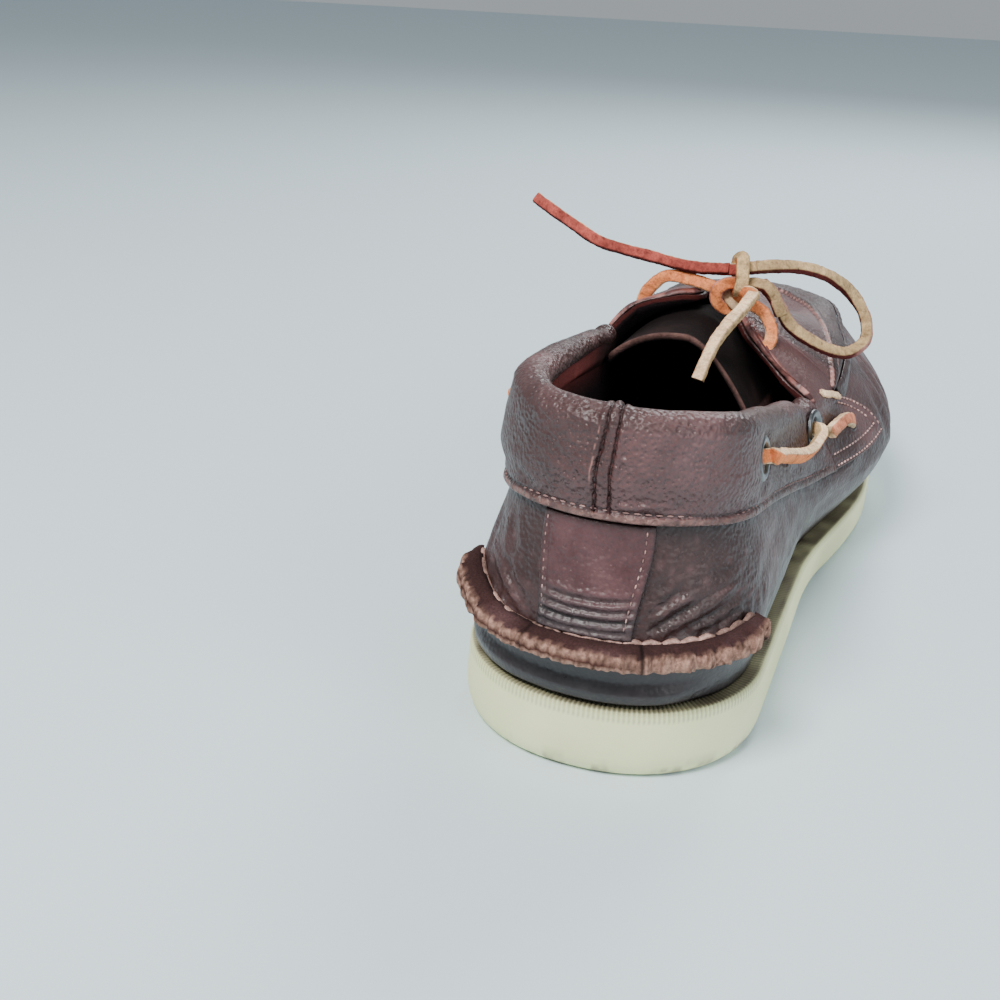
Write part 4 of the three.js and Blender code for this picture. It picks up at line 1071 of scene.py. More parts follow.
def make_collar():
    half = spaced(0, (0.06, 41), (0.3, 60), (0.94, 96), (1, 30))
    a = np.concatenate([-half[::-1], half[1:]])
    n = len(a)
    seam = collar_seam(collar_end(2.0) * a)[:, None]
    rows_leg, rows_roll, rows_in = 44, 15, 10
    V = mix(seam, TOP, (np.linspace(0, 1, rows_leg) ** 1.5)[None])
    S = collar_end(V) * a[:, None]
    leg, normal = skin(S, V), outward(S, V)
    run = along_leg(leg)
    from_end = ((1 - np.abs(a)) * END_SCALE)[:, None]
    thick = RAW_EDGE * mix(0.3, 1, edge_round(run, 0.7))
    thick = thick + (COLLAR_PAD - RAW_EDGE) * smooth(run, 3.2, 12)
    thick = thick - 0.6 * band(run, STITCH_GROOVE, 0.5)
    low = 1 - smooth(V, 1.7, 1.95)
    thick = mix(thick, OVERLAY, low * (1 - smooth(from_end, 0, 7)))
    lift = creased(leg, COLLAR_CREASES) + 0.28 * noise(leg, 16, 11) + 0.1 * noise(leg, 4, 12)
    right = smooth(S, 0.0, 0.02) * (1 - smooth(S, 0.16, 0.24))
    lift = lift + 0.13 * right * noise(leg, 1.5, 13)
    d = (S - back_seam(V)) * COLLAR_TURN
    lift = lift + seam_ridge(d) * smooth(run, 0.4, 2.5)
    near = near_holes(leg)
    lift = lift - 0.9 * (1 - smooth(near, 6.8, 10.5))
    lift = lift * mix(smooth(from_end, 0, 6), 1, 0.15)
    corner = np.maximum(edge_round(from_end, 2.0), low)
    outer = leg + normal * (SEAT + (thick + lift * edge_round(run, 1.5)) * mix(0.35, 1, corner))[..., None]

    rim = collar_end(TOP) * a
    top = np.full(n, float(TOP))
    lining = mix(COLLAR_LINING, LINING_EDGE, smooth(np.abs(rim), 0.3, 0.42))[:, None]
    centre = over(rim, top, -WALL / 2)
    turning = np.linspace(0, 1, rows_roll + 2)[1:-1]
    radius = WALL / 2 + SEAT + mix(thick[:, -1:], lining, turning[None])
    roll = centre[:, None] + outward(rim, top)[:, None] * (radius * np.cos(np.pi * turning))[..., None]
    roll = roll + upward(rim)[:, None] * (radius * np.sin(np.pi * turning))[..., None]
    middle = (roll[:, :1] + roll[:, -1:]) / 2
    roll = middle + (roll - middle) * mix(0.75, 1, edge_round(from_end, 2.0))[..., None]
    dr = ((rim - back_seam(ROLL_LEVEL)) * COLLAR_TURN)[:, None]
    calm = smooth(from_end, 0, 8)
    roll_lift = (0.3 * noise(roll, 15, 14) + 0.1 * noise(roll, 4, 15)) * calm
    roll_lift = roll_lift + seam_ridge(dr) * (1 - turning[None] * 0.5)
    roll_lift = roll_lift + 0.7 * band(dr, -0.5, 3.4) * np.sin(np.pi * turning)[None]
    roll = roll + unit(roll - middle) * roll_lift[..., None]

    VI = np.linspace(TOP, 3.25, rows_in)[None] * np.ones((n, 1))
    SI = collar_end(VI) * a[:, None]
    taper = 1 - 0.8 * smooth(TOP - VI, 0.45, 0.75)
    inside = over(SI, VI, -(WALL + SEAT + lining * taper))
    back_face = over(S[:, ::-1], V[:, ::-1], SEAT)
    inner_face = over(SI[:, ::-1], VI[:, ::-1], -(WALL + SEAT))
    ridge = over(rim, top, -WALL / 2) + upward(rim) * (WALL / 2 + SEAT)
    ring = np.concatenate([outer, roll, inside, inner_face, ridge[:, None], back_face], 1)

    tone = toned(outer, BROWN, MAUVE, size=30, seed=17, amount=1.0)
    # Painted highlight on the collar just right of the back seam.
    tone = blend(tone, MAUVE * 1.15, 0.55 * smooth(S, 0.0, 0.03) * (1 - smooth(S, 0.12, 0.3)))
    # Painted shade in the sewn grooves along the lower edge and either side of the back seam.
    tone = tone * (1 - 0.45 * band(run, STITCH_GROOVE, 0.45))[..., None]
    tone = tone * (1 - 0.5 * band(np.abs(d), BACK_STITCH, 0.4))[..., None]
    scratch = band(d, -3.4 - 0.6 * noise(leg, 5, 63), 0.22) * smooth(V, 2.7, 2.9) * (noise(leg, 2, 64) > -0.2)
    tone = blend(tone, RAW, 0.6 * scratch)
    edge = (1 - smooth(run, 1.5, 2.2)) * smooth(noise(leg, 1.6, 65) + 1.1, 0.0, 0.9)
    fibre = RAW * (0.36 + 0.16 * noise(leg, 1.1, 72)[..., None] + 0.1 * noise(leg, 7, 73)[..., None])
    tone = blend(tone, fibre * mix(1, 0.5, smooth(S, 0.1, 0.3))[..., None], edge)
    # Painted shade on the very bottom of the collar's edge, where it overhangs the wall.
    tone = tone * mix(0.25, 1, smooth(run, 0.0, 0.35))[..., None]
    # Painted shade in the pressed hollow round each eyelet.
    eyelet_hollow_shade = band(near, 6.5, 1.6)
    tone = blend(tone, BROWN * 0.6, 0.5 * eyelet_hollow_shade)
    tone = blend(tone, RAW * 0.7, 0.5 * (1 - smooth(from_end, 0.3, 1.2)) * (1 - low))
    roll_tone = toned(roll, BROWN, MAUVE, size=30, seed=17, amount=1.0)
    # Painted shade in the back seam's grooves over the roll, and darker where the roll turns into the
    # opening.
    roll_tone = roll_tone * (1 - 0.5 * band(np.abs(dr), BACK_STITCH, 0.4))[..., None]
    roll_tone = roll_tone * (1 - 0.6 * smooth(turning, 0.72, 0.95))[None, :, None]
    red = blend(RED_SUEDE, RED_SUEDE * 1.7, smooth(noise(inside, 7, 16), 0, 1))
    # Painted shade: the lining darkens deeper inside the shoe.
    red = red * mix(1.0, 0.4, smooth(TOP - VI, 0.3, 0.75))[..., None]
    red = blend(red, BROWN * 0.5, smooth(np.abs(SI), 0.34, 0.42))
    hidden = np.broadcast_to(BROWN * 0.5, (n, inner_face.shape[1] + 1 + back_face.shape[1], 3))
    colours = np.concatenate([tone, roll_tone, red, hidden], 1)
    obj = make_piece("collar_pad", ring, capped_faces(ring), colours,
                     [PEBBLED, SUEDE], ["collar"])
    start = rows_leg + rows_roll - 1
    index = np.arange(len(obj.data.polygons))
    column = index % ring.shape[1]
    fuzzy = (column >= start) & (column < start + rows_in) & (index < (n - 1) * ring.shape[1])
    obj.data.polygons.foreach_set("material_index", fuzzy.astype(np.int32))


make_collar()


# Overlays cut from the upper's own surface

def panel(name, turn, level, nodes, a_count, b_count, lift, colour, thick=OVERLAY, round_by=0.8,
          rounded=(True, True, True, True), crowd=1.0):
    """A leather piece on the wall: turn(a, v) and level(a, b) for shares a along it and b across it.
    Its four borders are a = 0, a = 1, b = 0 and b = 1; lift and colour get the distance to each in mm."""
    A, B = np.meshgrid(np.linspace(0, 1, a_count), np.linspace(0, 1, b_count) ** crowd, indexing="ij")
    V = level(A, B)
    S = turn(A, V)
    base = skin(S, V)
    normal = outward(S, V)
    across_a = np.linalg.norm(np.diff(base, axis=0), axis=-1)
    across_a = np.concatenate([np.zeros((1, b_count)), np.cumsum(across_a, axis=0)], 0)
    across_b = along_leg(base)
    d = np.stack([across_a, across_a[-1:] - across_a, across_b, across_b[:, -1:] - across_b])
    border = np.where(np.array(rounded)[:, None, None], d, 50.0).min(0)
    height = thick * mix(0.25, 1, edge_round(border, round_by)) + lift(base, S, V, d, border)
    outer = base + normal * (SEAT + height)[..., None]
    inner = base + normal * SEAT
    ring = np.concatenate([outer, inner[:, ::-1]], 1)
    tone = colour(outer, S, V, d, border)
    colours = np.concatenate([tone, np.broadcast_to(BROWN, tone.shape)], 1)
    make_piece(name, ring, loft_faces(ring, False), colours, LEATHER, nodes)


def make_patch():
    def turn(a, v):
        return (2 * a - 1) * mix(PATCH["half_low"], PATCH["half_high"], smooth(v, PATCH["low"], 2))

    def level(a, b):
        s = (2 * a - 1) * PATCH["half_high"]
        return mix(PATCH["low"], climb(s, collar_seam(s), -SEAT), b)

    def lift(base, s, v, d, border):
        sides = np.minimum(d[0], d[1])
        field = creased(base, UPPER_CREASES[:4]) + 0.16 * noise(base, 8, 22) + 0.06 * noise(base, 2.5, 28)
        return (field - 0.3 * band(sides, 2.2, 0.45)) * smooth(border, 0.0, 1.0)

    def colour(points, s, v, d, border):
        tone = toned(points, PATCH_BROWN, PATCH_BROWN * 1.7, size=22, seed=23)
        tone = blend(tone, SLATE * 1.3, (1 - smooth(v, 1.2, 1.55)) * 0.75)
        # Painted shade in the crease troughs and painted highlight on their ridges.
        tone = tone * (1 + 1.1 * clamp(creased(skin(s, v), UPPER_CREASES[:4]), -0.75, 0.15))[..., None]
        # Painted shadow along the patch's side edges.
        tone = tone * (1 - 0.55 * band(np.minimum(d[0], d[1]), 0.2, 0.5))[..., None]
        # Painted shadow along the top, under the collar's edge.
        return tone * (1 - 0.5 * band(d[3], 0, 1.6))[..., None]

    panel("heel_patch_skin", turn, level, ["heel_patch"], 80, 90, lift, colour, thick=1.0, round_by=0.7)


STRIP = 4.2
SCALLOP = 2.3


def stay_tone(points):
    return toned(points, mix(BROWN, MAUVE, 0.55), MAUVE * 1.2, size=34, seed=21)


def make_stay(side):
    def turn(a, v):
        back = collar_end(v) + 0.0005 + EDGE_GAP * smooth(v, 1.75, 2.0) * (1 + 1.5 * smooth(v, 3, 3.6))
        return side * mix(back, stay_front(side, v), a)

    def level(a, b):
        return mix(collar_seam(mix(collar_end(2.0), stay_front(side, 1.3), a)), TOP, b)

    def lift(base, s, v, d, border):
        wing = 1 - smooth(v, 1.95, 2.2)
        edge = np.minimum(np.where(v < 2.3, d[1], 60), d[2])
        sewn = -0.3 * (band(edge, 1.4, 0.4) + band(edge, 5.0, 0.4)) * wing
        strip = 0.35 * (1 - smooth(d[3], STRIP - 0.3, STRIP + 0.2)) - 0.3 * band(d[3], 3.0, 0.3)
        front = mix(edge_round(d[1], 0.8), 1, smooth(v, 2.35, 2.6))
        return sewn + strip + 0.18 * noise(base, 10, 24) * smooth(border, 0, 1) - 0.9 * (1 - front)

    def colour(points, s, v, d, border):
        tone = blend(stay_tone(points), toned(points, BROWN, MAUVE, seed=21), 1 - smooth(v, 1.9, 2.4))
        dark = (1 - smooth(d[3], STRIP - 0.3, STRIP)) * smooth(d[3], 0.3, 0.6)
        tone = blend(tone, DARK_RED * 0.45, dark * 0.9)
        pale = band(d[3], 0.2, 0.32) + band(d[3], 3.0, 0.36) + 0.7 * band(d[3], STRIP, 0.3)
        pale = clamp(pale * smooth(noise(points, 2, 66), -0.6, 0.3), 0, 1)
        tone = blend(tone, PINKISH, pale * 0.85)
        raw = (1 - smooth(d[1], 0.2, 0.8)) * smooth(v, 1.5, 1.6) * (1 - smooth(v, 2.3, 2.45))
        tone = blend(tone, RAW, raw * 0.8)
        low = 1 - smooth(d[2], 0.2, 0.7)
        return blend(tone, RAW * 0.5, low * 0.6)

    name = "outer" if side > 0 else "inner"
    panel(f"{name}_stay_skin", turn, level, [f"{name}_stay"], 90, 150, lift, colour,
          rounded=(False, False, True, True), round_by=0.6)


def moc_rim(s):
    turn = wrap(s)
    return curve(MOC_RIM, 1, np.abs(turn))


def make_plug():
    def start(v):
        return stay_front(1, v) + 0.0006

    def finish(v):
        return 2 - stay_front(-1, v) - 0.0006

    def turn(a, v):
        return mix(start(v), finish(v), a)

    def level(a, b):
        s = mix(start(2.2), finish(2.2), a)
        return mix(climb(s, MOC_LEVEL, MOC_WIDTH / 2 + 3 * GAP), TOP, b)

    def above(s, v):
        """Distance over the gathered edge, with its scallops between the stitches."""
        size = np.linalg.norm(rising(s, v), axis=-1)
        path = skin(s, v)
        walk = np.cumsum(np.linalg.norm(np.diff(path, axis=0, prepend=path[:1]), axis=-1), axis=0)
        scallop = 0.45 * np.abs(np.sin(np.pi * walk / SCALLOP))
        return (v - moc_rim(s)) * size - scallop, walk

    def lift(base, s, v, d, border):
        over_line, walk = above(s, v)
        gathered = smooth(over_line, -MOC_BAND - 1.5, -MOC_BAND + 0.6) * (1 - smooth(over_line, -0.35, 0.35))
        pinch = 0.22 * np.sin(2 * np.pi * walk / SCALLOP) * gathered * smooth(over_line, -3.2, -0.8)
        below = 1 - smooth(over_line, -0.35, 0.35)
        field = creased(base, PLUG_CREASES) + 0.25 * noise(base, 18, 25) + 0.08 * noise(base, 5, 26)
        edge = smooth(np.minimum(d[2], d[3]), 0.0, 2.0)
        return (field + 0.55 * gathered + 0.35 * below + pinch) * edge

    def colour(points, s, v, d, border):
        over_line, walk = above(s, v)
        tone = stay_tone(points)
        below = (1 - smooth(over_line, -0.6, -0.1))[..., None]
        tone = mix(tone, toned(points, BROWN * 0.8, MAUVE * 0.7, size=14, seed=67), below)
        beside = np.abs(np.abs(wrap(s)) - 0.5)
        lower = band(over_line, -MOC_BAND - 0.4, 0.6) * (1 - smooth(beside, 0.06, 0.14))
        pale = band(over_line, -0.1, 0.5) + 0.9 * lower
        pale = clamp(pale, 0, 1) * smooth(noise(points, 1.7, 68), -0.9, -0.1)
        tone = blend(tone, RAW * 1.1, 0.85 * pale)
        # Painted shade on the plug just above the gathered edge's rim.
        tone = tone * (1 - 0.5 * band(over_line, 0.9, 0.5))[..., None]
        rim = band(d[3], 0.2, 0.5)[..., None]
        return mix(tone, PINKISH * 0.8, rim * 0.5)

    panel("plug_skin", turn, level, ["plug"], 520, 80, lift, colour,
          rounded=(False, False, True, True), crowd=1.25)


make_patch()
make_stay(1)
make_stay(-1)
make_plug()


# Raised seams

def seam_lip(name, lip, s, nodes, reach, tone, extra_level=0.0):
    """A lip of (level, reach) rows swept along turns s."""
    level = lip[None, :, 0] + seam_rise(s)[:, None] + extra_level
    height = 2 * GAP + lip[None, :, 1] * reach
    points = over(s[:, None], level, height)
    points = points + 0.3 * noise(points, 1.3, 33)[..., None] * unit(np.array([0.3, -1, -0.4]))
    return make_piece(name, points, capped_faces(points), tone(points), RAW_LEATHER, nodes)


def make_heel_seam():
    """Two raw edges sewn together, ruffled by the thread and drooping a little."""
    end = HEEL_SEAM["end"]
    s = np.linspace(-end, end, 521)
    walk = (s * HEEL_TURN)[:, None]
    line = np.concatenate([walk, 0 * walk, 0 * walk], 1)
    lip = np.array([
        (1.125, 0.0), (1.122, 0.25), (1.112, 0.5), (1.097, 0.75), (1.08, 0.92), (1.065, 1.0), (1.04, 1.05),
        (1.01, 1.06), (0.985, 1.055), (0.96, 1.04), (0.935, 1.0), (0.922, 0.94), (0.915, 0.86), (0.917, 0.78),
        (0.925, 0.6), (0.94, 0.3), (0.95, 0.0),
    ])
    share = np.linspace(0, 1, len(lip))[None]
    taper = np.minimum(end - np.abs(s), 0.03) / 0.03
    full = mix(0.45, 1, np.sqrt(taper))[:, None]
    ruffle_mask = smooth(s, 0.03, 0.06)[:, None] + 0.45 * (1 - smooth(s, -0.03, 0.05))[:, None]
    ruffle = np.sin(walk * 2 * np.pi / THICK_PITCH + 1.2 * noise(line, 14, 30)[:, None]) * ruffle_mask
    outer_part = smooth(lip[:, 1], 0.55, 0.95)[None]
    ragged = 0.5 * noise(line, 2.2, 31)[:, None] + 0.3 * noise(line, 0.9, 76)[:, None]
    reach = (HEEL_SEAM_REACH - 0.3) * full + (0.75 * ruffle + ragged) * outer_part
    droop = 0.02 * ruffle * outer_part + 0.018 * noise(line, 8, 32)[:, None] * outer_part

    def tone(points):
        colour = toned(points, BROWN * 1.05, MAUVE * 1.0, size=14, seed=34) * np.ones(points.shape)
        raw = smooth(share, 0.2, 0.3) * (1 - smooth(share, 0.82, 0.92))
        frayed = smooth(noise(points, 1.5, 35) + (raw - 0.5) * 4, -0.5, 0.4) * raw
        uneven = 0.72 + 0.6 * noise(points, 0.8, 36) + 0.25 * noise(points, 6, 77)
        fibre = mix(RAW, TAN, 0.2) * uneven[..., None]
        colour = blend(colour, fibre, frayed)
        # Painted shade in the gap between the two sewn edges.
        split = band(share, 0.44, 0.04) * (1 - smooth(s, 0.02, 0.06))[:, None]
        colour = blend(colour, DARK_RED * 0.25, 0.85 * split)
        joins = band(walk, 0.056 * HEEL_TURN, 0.7) + 0.7 * band(walk, -0.05 * HEEL_TURN, 0.9)
        colour = colour * (1 - 0.75 * joins)[..., None]
        # Painted shade where the lip meets the wall, strongest on its underside.
        under = smooth(share, 0.86, 0.95) + (1 - smooth(share, 0.0, 0.1)) * 0.6
        return colour * (1 - 0.75 * under)[..., None]

    seam_lip("heel_seam_lip", lip, s, ["heel_seam"], reach, tone, droop)
    make_root_strip()


def make_root_strip():
    """The pale scalloped edge that shows along the lip's root."""
    end = HEEL_SEAM["end"] * 0.97
    s = np.linspace(-end, end, 521)
    walk = s * HEEL_TURN
    crescents = np.abs(np.sin(np.pi * walk / 6.8)) ** 0.8 * smooth(s, -0.06, -0.03)
    wide = 0.7 + 0.8 * crescents + 0.45 * noise(np.stack([walk, 0 * s, 0 * s], -1), 3, 37)
    across = np.linspace(0, 1, 7)
    base = 1.105 + seam_rise(s)
    level = climb(s[:, None], base[:, None], across[None] * wide[:, None])
    height = 1.3 * np.sqrt(1 - (2 * across - 1) ** 2 * 0.98)[None]
    points = over(s[:, None], level, height)
    tone = ROOT_STRIP * (0.85 + 0.4 * noise(points, 1.1, 38)[..., None])
    shade = mix(0.45, 1, smooth(noise(points, 5, 39), -0.5, 0.3))[..., None]
    make_piece("heel_seam_root", points, capped_faces(points), tone * shade,
               RAW_LEATHER, ())


def make_moc_seam():
    """The fold of the vamp at the foot of its gathered edge."""
    start = stay_front(1, MOC_FOOT) + EDGE_GAP
    finish = 2 - stay_front(-1, MOC_FOOT) - EDGE_GAP
    s = np.linspace(float(start), float(finish), 620)
    path = skin(s, np.full(len(s), MOC_LEVEL))
    walked = walked_along(path)
    pinch = 0.5 + 0.5 * np.cos(walked * 2 * np.pi / THICK_PITCH)
    across = np.array([-0.62, -0.55, -0.42, -0.25, -0.08, 0.1, 0.28, 0.42, 0.5])
    rise = np.array([0, 0.3, 0.62, 0.9, 1.0, 1.0, 0.98, 0.95, 0.9])
    height = 2.0 * mix(1.0, 1.08, pinch)
    ends = smooth(np.minimum(walked, walked[-1] - walked), 0, 6)
    level = climb(s[:, None], MOC_LEVEL, across[None] * MOC_WIDTH * 1.5)
    height = 0.3 + rise[None] * (height * mix(0.5, 1, ends))[:, None]
    points = over(s[:, None], level, height)
    colour = toned(points, BROWN * 0.8, MAUVE * 0.7, size=14, seed=41)
    make_piece("moc_seam_fold", points, capped_faces(points), colour,
               LEATHER, ["moc_seam"])


make_heel_seam()
make_moc_seam()


# Stitches

def bead(length, width, height, sides=6, rows=5):
    """A stitch: a small rounded bar along x, flat side down."""
    points = []
    for i in range(rows):
        u = -1 + 2 * i / (rows - 1)
        scale = math.sqrt(max(1 - abs(u) ** 2.6, 0.04))
        for j in range(sides):
            angle = 2 * math.pi * j / sides
            points.append((u * length / 2, math.cos(angle) * width / 2 * scale,
                           math.sin(angle) * height / 2 * scale))
    return np.array(points), rows, sides


def at_distance(rows, walked, distance):
    return np.array([np.interp(distance, walked, rows[:, k]) for k in range(3)])


def stitches(name, lines, pitch, colour, length, width, height, sink=0.12):
    """Lines are lists of (turn, level, height) corners; a stitch every pitch mm."""
    bar, rows, sides = bead(length, width, height)
    side_faces = grid_faces(rows, sides, close_columns=True)[:, ::-1]
    caps = np.array([range(sides), range(rows * sides - 1, (rows - 1) * sides - 1, -1)])
    points, faces, colours = [], [], []
    for line in lines:
        corners = along_line(line, 60)
        path = over(corners[:, 0], corners[:, 1], corners[:, 2] - sink)
        normal = outward(corners[:, 0], corners[:, 1])
        walked = walked_along(path)
        for at in np.arange(pitch / 2, walked[-1], pitch):
            n = unit(at_distance(normal, walked, at))
            t = unit(at_distance(path, walked, at + 0.6) - at_distance(path, walked, at - 0.6))
            b = np.cross(n, t)
            shade = 1 + 0.25 * RANDOM.standard_normal()
            first = len(points) * len(bar)
            points.append(at_distance(path, walked, at) + bar[:, :1] * t + bar[:, 1:2] * b + bar[:, 2:] * n)
            faces += (side_faces + first).tolist() + (caps + first).tolist()
            colours.append(np.broadcast_to(colour * clamp(shade, 0.6, 1.4), bar.shape))
    make_piece(name, np.vstack(points), faces, np.vstack(colours), THREAD, ())


def seam_line(distance, height, start=-1.0, stop=1.0, count=61):
    """A line along the collar's lower seam, a distance above it."""
    lines = []
    for a in np.linspace(start, stop, count):
        s = float(a * collar_end(2.0))
        lines.append((s, float(climb(s, collar_seam(s), distance)), height))
    return lines


TURN_PER_MM = 0.0023


def make_stitches():
    stitches("collar_seam_stitches", [seam_line(STITCH_GROOVE, SEAT + RAW_EDGE - 0.4, -0.98, 0.98)], 2.6,
             mix(THREAD_DARK, THREAD_PALE, 0.45), length=1.6, width=0.55, height=0.5)
    back = []
    for x in (-BACK_STITCH, BACK_STITCH):
        line = []
        for v, height in ((2.2, 2.3), (2.5, 2.6), (2.9, 3.2), (3.4, 3.5), (3.97, 3.6)):
            line.append((float(back_seam(v)) + x / COLLAR_TURN, v, SEAT + height))
        back.append(line)
    stitches("back_seam_stitches", back, 2.7, THREAD_DARK * 0.9, length=1.4, width=0.6, height=0.5)
    patch = []
    for side in (-1, 1):
        line = []
        for v in (1.2, 1.5, 1.8, 2.0):
            half = mix(PATCH["half_low"], PATCH["half_high"], float(smooth(v, PATCH["low"], 2)))
            line.append((side * half - (3.4 if side > 0 else -2.0) / PATCH_TURN, v, SEAT + 0.96))
        patch.append(line)
    stitches("patch_stitches", patch, 2.1, THREAD_PALE * 0.7, length=1.1, width=0.42, height=0.5)
    for side in (1, -1):
        lines = []
        for inset in (1.4, 5.0):
            front = []
            for v in np.linspace(1.98, 1.31 + inset * 0.04, 8):
                front.append((side * (float(stay_front(side, v)) - inset * TURN_PER_MM), v, STAY_FACE + 0.02))
            low = []
            for share in np.linspace(0.06, 1 - inset * 0.025, 12):
                s = mix(float(collar_end(2.0)), float(stay_front(side, 1.3)), share)
                low.append((side * s, float(climb(side * s, collar_seam(s), inset)), STAY_FACE + 0.02))
            lines += [front, low]
        name = "outer" if side > 0 else "inner"
        stitches(f"{name}_stay_stitches", lines, 2.2, THREAD_PALE, length=1.5, width=0.7, height=0.6)


make_stitches()


# Eyelets and punched holes

REAR_TILT = 0.16


def make_round(name, hole, profile, colour, material, nodes, count=56, sharp=50):
    """A turned ring, or a disc where the profile starts on the axis."""
    s, v = HOLES[hole]
    n = outward(s, v)
    across = unit(rising(s, v) - n * np.dot(rising(s, v), n))
    side = np.cross(n, across)
    if hole.endswith("rear"):
        n = unit(n + REAR_TILT * side * np.sign(-side[1]))
        side = np.cross(n, across)
    angles = np.linspace(0, 2 * np.pi, count, endpoint=False)
    rings = np.array([[skin(s, v) + n * z + r * (np.cos(t) * side + np.sin(t) * across) for r, z in profile]
                      for t in angles])
    faces = grid_faces(count, len(profile), close_rows=True, close_columns=True)
    tone = np.broadcast_to(colour, rings.shape) * (1 + 0.2 * noise(rings, 2, 70)[..., None])
    make_piece(name, rings, faces, tone, material, nodes, sharp=sharp)


def make_eyelet(hole):
    face = PAD_FACE - 0.55
    bore, flange = EYELET_BORE, EYELET_FLANGE
    profile = [
        (bore, -WALL), (EYELET_BARREL, -WALL), (EYELET_BARREL, face - 0.3), (flange - 0.3, face - 0.3),
        (flange, face - 0.1), (flange - 0.1, face + 0.25), (flange - 0.6, face + 0.62),
        (flange - 1.2, face + 0.7), (bore + 0.35, face + 0.45), (bore, face + 0.05),
    ]
    make_round(f"eyelet_ring_{hole}", hole, profile, BROWN, GUNMETAL, [f"eyelet_{hole}"])
    # A black disc in the bore: painted shade inside the eyelet.
    dark = [(0.02, 2.3), (bore - 0.05, 2.3), (bore - 0.05, 1.9), (0.02, 1.9)]
    make_round(f"eyelet_shadow_disc_{hole}", hole, dark, BLACK, SUEDE, (), 40, None)


def make_punched(hole):
    # The dark rim and the black disc are painted shade round and in the punched hole.
    ring = [(1.6, STAY_FACE - 0.4), (3.3, STAY_FACE - 0.4), (3.1, STAY_FACE + 0.2), (2.4, STAY_FACE + 0.42),
            (1.7, STAY_FACE + 0.2)]
    make_round(f"punched_rim_{hole}", hole, ring, BROWN * 0.8, LEATHER, (), 40, None)
    top, bottom = STAY_FACE + 0.12, STAY_FACE - 0.3
    disc = [(0.02, top), (1.9, top), (1.9, bottom), (0.02, bottom)]
    make_round(f"punched_shadow_disc_{hole}", hole, disc, BLACK, SUEDE, (), 40, None)


for hole_name in METAL_HOLES:
    make_eyelet(hole_name)
for hole_name in ("outer_wing", "inner_wing"):
    make_punched(hole_name)


def make_torn_edge():
    """A torn lip of pale leather over the wing's hole."""
    path = over(np.array([0.4885, 0.497, 0.504, 0.5085, 0.512]), np.array([3.1, 2.86, 2.6, 2.3, 2.06]),
                STAY_FACE + np.array([0.2, 0.45, 0.5, 0.6, 0.9]))
    thong("torn_edge", path, (), up=(1, -0.3, 0.6), width=2.4, thick=0.9, tones=(CREAM, RAW, RAW, CREAM),
          seed=21, taper=0.5)


make_torn_edge()


# Tongue, insole and sole. Rows: along, centre, half, crest, outer drop, inner drop.
TONGUE = [
    (0.362, -0.1, 0.58, 0.915, 0.345, 0.12), (0.42, -0.105, 0.555, 0.92, 0.37, 0.14),
    (0.47, -0.11, 0.54, 0.92, 0.38, 0.18), (0.52, -0.08, 0.5, 0.895, 0.36, 0.22),
    (0.565, -0.04, 0.44, 0.85, 0.3, 0.24), (0.61, 0, 0.38, 0.78, 0.22, 0.22),
]
TONGUE_POWER = (1.65, 2.6)


def tongue_point(along, a, depth):
    y = along * LENGTH
    outer = curve(TONGUE, 4, along) * np.maximum(a, 0) ** TONGUE_POWER[0]
    inner = curve(TONGUE, 5, along) * np.maximum(-a, 0) ** TONGUE_POWER[1]
    x = axis(y) + (curve(TONGUE, 1, along) + curve(TONGUE, 2, along) * a) * half_width(y)
    z = mix(sole_top(y), crown(y), curve(TONGUE, 3, along) - outer - inner) - depth
    return np.stack([x, y + 0 * x, z], -1)


def make_tongue():
    along = TONGUE[0][0] + (TONGUE[-1][0] - TONGUE[0][0]) * np.linspace(0, 1, 110) ** 1.1
    a = np.linspace(-1, 1, 90)
    L, A = np.meshgrid(along, a, indexing="ij")
    from_edge = np.minimum((L - along[0]) * LENGTH, (1 - np.abs(A)) * 26)
    puff = edge_round(from_edge, 1.2)
    top = tongue_point(L, A, 0.0)
    wave = 0.3 * noise(top, 16, 50) + 0.1 * noise(top, 5, 51)
    top = tongue_point(L, A, 0.5 * (1 - puff) - wave * puff * 0.5)
    under = tongue_point(L, A, TONGUE_THICK * (1 + A * A * 0.6) - 0.5 * (1 - puff))
    ring = np.concatenate([top, under[:, ::-1]], 1)
    # The tongue is the leather darkened almost to black, with a darkened raw edge: painted shade in the
    # shoe's opening.
    tone = toned(top, BROWN * 0.12, BROWN * 0.4, size=18, seed=52)
    edge = (1 - smooth(from_edge, 0.9, 1.8))[..., None]
    tone = mix(tone, RAW * 0.3 * (1 + 0.4 * noise(top, 1.5, 71)[..., None]), edge)
    below = np.broadcast_to(SHADED_SUEDE, under.shape)
    make_piece("tongue_sheet", ring, loft_faces(ring, False), np.concatenate([tone, below], 1),
               SUEDE, ["tongue"])


